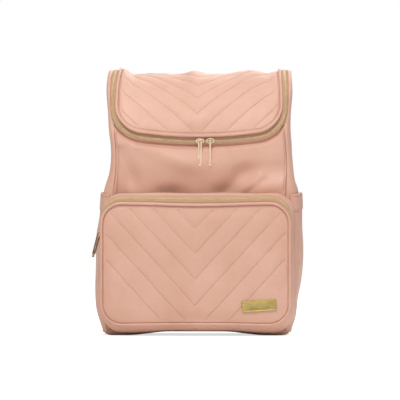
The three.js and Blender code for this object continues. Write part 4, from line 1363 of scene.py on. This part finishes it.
def on_strap(obj, course):
    """A function giving places on the outer face of a finished strap: u across it, t along it."""
    t, centre, across, outward, width = course
    tree = BVHTree.FromPolygons([v.co for v in obj.data.vertices], [p.vertices for p in obj.data.polygons])
    reach = 30.0

    def at(values, places):
        return np.stack([np.interp(places, t, values[:, k]) for k in range(3)], 1)

    def surface(u, places, height):
        out = unit(at(outward, places))
        side = np.asarray(u)[:, None] * np.interp(places, t, width)[:, None] / 2
        found = []
        for origin, normal in zip(at(centre, places) + at(across, places) * side + out * reach, out):
            hit = tree.ray_cast(Vector(origin * MM), Vector(-normal))[0]
            found.append(origin - normal * reach if hit is None else np.array(hit) / MM)
        return np.array(found) + out * height

    return surface


def make_shoulder_strap(name, side):
    """A padded strap, which starts on the yoke, turns over near the bag's top and hangs down the back."""
    low, high = node_box(f"shoulder_strap_{name}")
    inner_x, outer_x = (high[0], low[0]) if side < 0 else (low[0], high[0])
    top_x, low_x = inner_x + side * 23, outer_x - side * 21
    near, deep = low[1] + 3.6, high[1] - 4.6
    # place sideways, y, level and width of the strap
    stations = ((top_x, near, 357, 36), (top_x, near, 372, 36), (top_x + side, near + 0.4, 384, 36),
                (top_x + side * 1.5, near + 4.5, 390.5, 37), (top_x + side * 3, deep - 1.8, 386, 42),
                (top_x + side * 5, deep, 374, 48), (top_x + side * 11, deep - 0.5, 335, 55),
                (low_x - side * 9, deep - 3.4, 280, 56), (low_x - side * 2, deep - 7, 215, 54),
                (low_x, near + 2.6, 184, 44), (low_x + side, near + 2.2, 171, 31))
    course = strap_course([row[:3] for row in stations], [row[3] for row in stations])
    strap = formed(f"shoulder_strap_{name}_pad", [strap_parts(course, 6.4)], PINK, 0.6)

    def cap(points):
        t, centre, across, _, width = course
        station = np.argmin(np.linalg.norm(points[:, None, :] - centre[None], axis=2), axis=1)
        u = np.abs(np.sum((points - centre[station]) * across[station], axis=1)) / (width[station] / 2)
        return 0.1 + 3.6 * smooth(0.90, 0.45, u) * smooth(0.30, 0.44, t[station]) * smooth(1, 0.9, t[station])

    fill(strap, cap)
    place(strap, "bag", f"shoulder_strap_{name}")
    runs = [np.linspace((edge, 0.42), (edge, 0.968), 120) for edge in (-0.80, 0.80)]
    runs.append(np.linspace((-0.80, 0.975), (0.80, 0.975), 20))
    surface = on_strap(strap, course)
    sew(f"shoulder_strap_{name}", [stitch_parts(run, surface, radius=STRONG_THREAD) for run in runs])


def make_webbing(name, side):
    node = f"strap_webbing_{name}"
    low, high = node_box(node)
    edges = (low[0] + 13.0, high[0] - 13.0)
    x_low, x_top = edges if side < 0 else edges[::-1]
    y = (low[1] + high[1]) / 2
    path = np.linspace((x_top, y, high[2] - 1), (x_low, y, low[2] + 1), 3)
    piece(node + "_band", [strap_parts(strap_course(path, [24.4] * 3), 1.4)], WEBBING, "bag", node, edge=0.3)


def finish_adjuster(name):
    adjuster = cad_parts[f"strap_adjuster_{name}"]
    adjuster.data.materials.clear()
    adjuster.data.materials.append(GOLD)
    bevel = adjuster.modifiers.new("soft_edges", "BEVEL")
    bevel.width = 0.45 * MM
    bevel.segments = 3
    bevel.limit_method = "ANGLE"


# ------------------------------------------------------------------ back: anchors, yoke, handle, sleeve


def facing_back(level):
    """A flat surface for stitches, facing +Y."""
    return lambda x, z, height: stack(x, level + height, z)


def make_anchor(name):
    node = f"strap_anchor_{name}"
    low, high = node_box(node)
    tab = pad_parts((low[0] + 1, BACK + 0.4, low[2] + 1), (high[0] - 1, high[1] - 1.4, high[2] - 1), 5,
                    edge=2.5, step=3)
    piece(node + "_tab", [tab], PINK_EDGE, "bag", node)
    # a box with one diagonal, the usual sewing of a strap's end
    corners = np.array([(-1, -1), (1, -1), (1, 1), (-1, 1), (-1, -1), (1, 1)])
    run = ((low + high) / 2)[[0, 2]] + corners * ((high[0] - low[0]) / 2 - 5, 9)
    box = np.concatenate([np.linspace(start, end, 20) for start, end in zip(run, run[1:])])
    sew(node, [stitch_parts(box, facing_back(high[1] - 1.35), radius=STRONG_THREAD)])


def make_back_parts():
    # node, name of its piece, corner, material, how far it stands past the CAD, and inset of its stitches
    for node, name, corner, material, proud, inset in (
            ("strap_yoke", "_patch", 8, PINK_EDGE, -0.4, 4), ("trolley_sleeve", "_band", 7, PINK, 0.3, 4),
            ("handle_tab_left", "_patch", 3, PINK_EDGE, -0.4, 2.2),
            ("handle_tab_right", "_patch", 3, PINK_EDGE, -0.4, 2.2)):
        low, high = node_box(node)
        high[1] += proud
        piece(node + name, [pad_parts(low, high, corner, edge=1.2, step=4)], material, "bag", node)
        half_x, _, half_z = (high - low) / 2 - inset
        outline = rounded_corners(half_x, half_z, corner * 0.6, 6)
        outline = np.append(outline, outline[:1], axis=0) + ((low + high) / 2)[[0, 2]]
        along = lengths_along(outline)
        t = evenly(along[-1], 4.0)
        path = np.stack([np.interp(t, along, outline[:, k]) for k in (0, 1)], 1)
        sew(node + name, [stitch_parts(path, facing_back(high[1]))])


def make_handle():
    low, high = node_box("haul_handle")
    half, bend, wire = high[0] - 7.5, 15.0, 6.6
    bottom = low[2] + 7.5
    t = np.linspace(0, QUARTER, 13)
    down = np.linspace(high[2] - 1.5, bottom + bend, 12, endpoint=False)
    x = np.concatenate([np.full(12, -half), -half + bend * (1 - np.cos(t))])
    z = np.concatenate([down, bottom + bend * (1 - np.sin(t))])
    path = stack(np.append(x, -x[::-1]), (low[1] + high[1]) / 2, np.append(z, z[::-1]))
    parts = tube_parts(path, wire, 16, squash=0.42)
    piece("haul_handle_loop", [parts], PINK, "haul_handle", "haul_handle", edge=0.6)


# ------------------------------------------------------------------ stage


def make_stage():
    reach = 6000.0
    corners = [(-reach, -reach, 0), (reach, -reach, 0), (reach, reach, 0), (-reach, reach, 0)]
    mesh_object("floor", corners, [(0, 1, 2, 3)], pale_floor_material(), smooth_shade=False)
    world = bpy.data.worlds.new("studio")
    bpy.context.scene.world = world
    world.use_nodes = True
    tree = world.node_tree
    ambient = tree.nodes["Background"]
    ambient.inputs["Color"].default_value = (1.0, 0.96, 0.92, 1)
    ambient.inputs["Strength"].default_value = 0.36
    # the camera sees a white backdrop, whatever the strength of the light from it
    backdrop = tree.nodes.new("ShaderNodeBackground")
    backdrop.inputs["Color"].default_value = (1, 1, 1, 1)
    seen = tree.nodes.new("ShaderNodeLightPath").outputs["Is Camera Ray"]
    either = tree.nodes.new("ShaderNodeMixShader")
    for index, output in enumerate((seen, ambient.outputs[0], backdrop.outputs[0])):
        tree.links.new(output, either.inputs[index])
    tree.links.new(either.outputs[0], tree.nodes["World Output"].inputs["Surface"])
    # name, place, width and power of each softbox; all face the bag
    for name, spot, width, power in (
            ("key", (-0.3, -1.75, 2.45), 0.9, 43), ("fill", (1.3, -2.4, 0.8), 1.8, 5),
            ("top", (0.1, 0.1, 2.3), 1.2, 9), ("back", (0.6, 2.2, 1.6), 1.8, 30)):
        light = bpy.data.lights.new(name, "AREA")
        light.size = width
        light.energy = power
        aim(light, spot, (0, 0, 0.25))


def aim(data, spot, target):
    """A light or camera at one place, facing another."""
    obj = bpy.data.objects.new(data.name, data)
    bpy.context.scene.collection.objects.link(obj)
    obj.location = spot
    obj.rotation_euler = (Vector(target) - obj.location).to_track_quat("-Z", "Y").to_euler()
    return obj


def make_camera():
    azimuth, distance, sensor = math.radians(2.0), 6.0, 36
    frame_width = 0.6  # metres seen across the picture at the bag's middle
    target = (0.0, 0.0, 0.2012)
    data = bpy.data.cameras.new("camera")
    data.sensor_width = sensor
    data.lens = sensor * distance / frame_width
    spot = (distance * math.sin(azimuth), -distance * math.cos(azimuth), target[2])
    bpy.context.scene.camera = aim(data, spot, target)
    bpy.context.scene.view_settings.view_transform = "Standard"


# ------------------------------------------------------------------ build

SIDES = (("left", -1), ("right", 1))

make_front_panel()
make_back_panel()
make_body_stitches()
for side_name, side_sign in SIDES:
    make_side_panel(side_name, side_sign)
make_base()
make_linings()
make_inner_parts()
make_lid()
make_lid_stitches()
make_lid_piping()
make_lid_zip()
make_pocket_gusset()
make_pocket_lining()
make_pocket_panel()
make_pocket_piping()
make_pocket_zip()
make_sliders()
make_name_plate()
for side_name, side_sign in SIDES:
    make_side_pocket(side_name, side_sign)
    make_shoulder_strap(side_name, side_sign)
    make_webbing(side_name, side_sign)
    make_anchor(side_name)
    finish_adjuster(side_name)
make_back_parts()
make_handle()
make_stage()
make_camera()
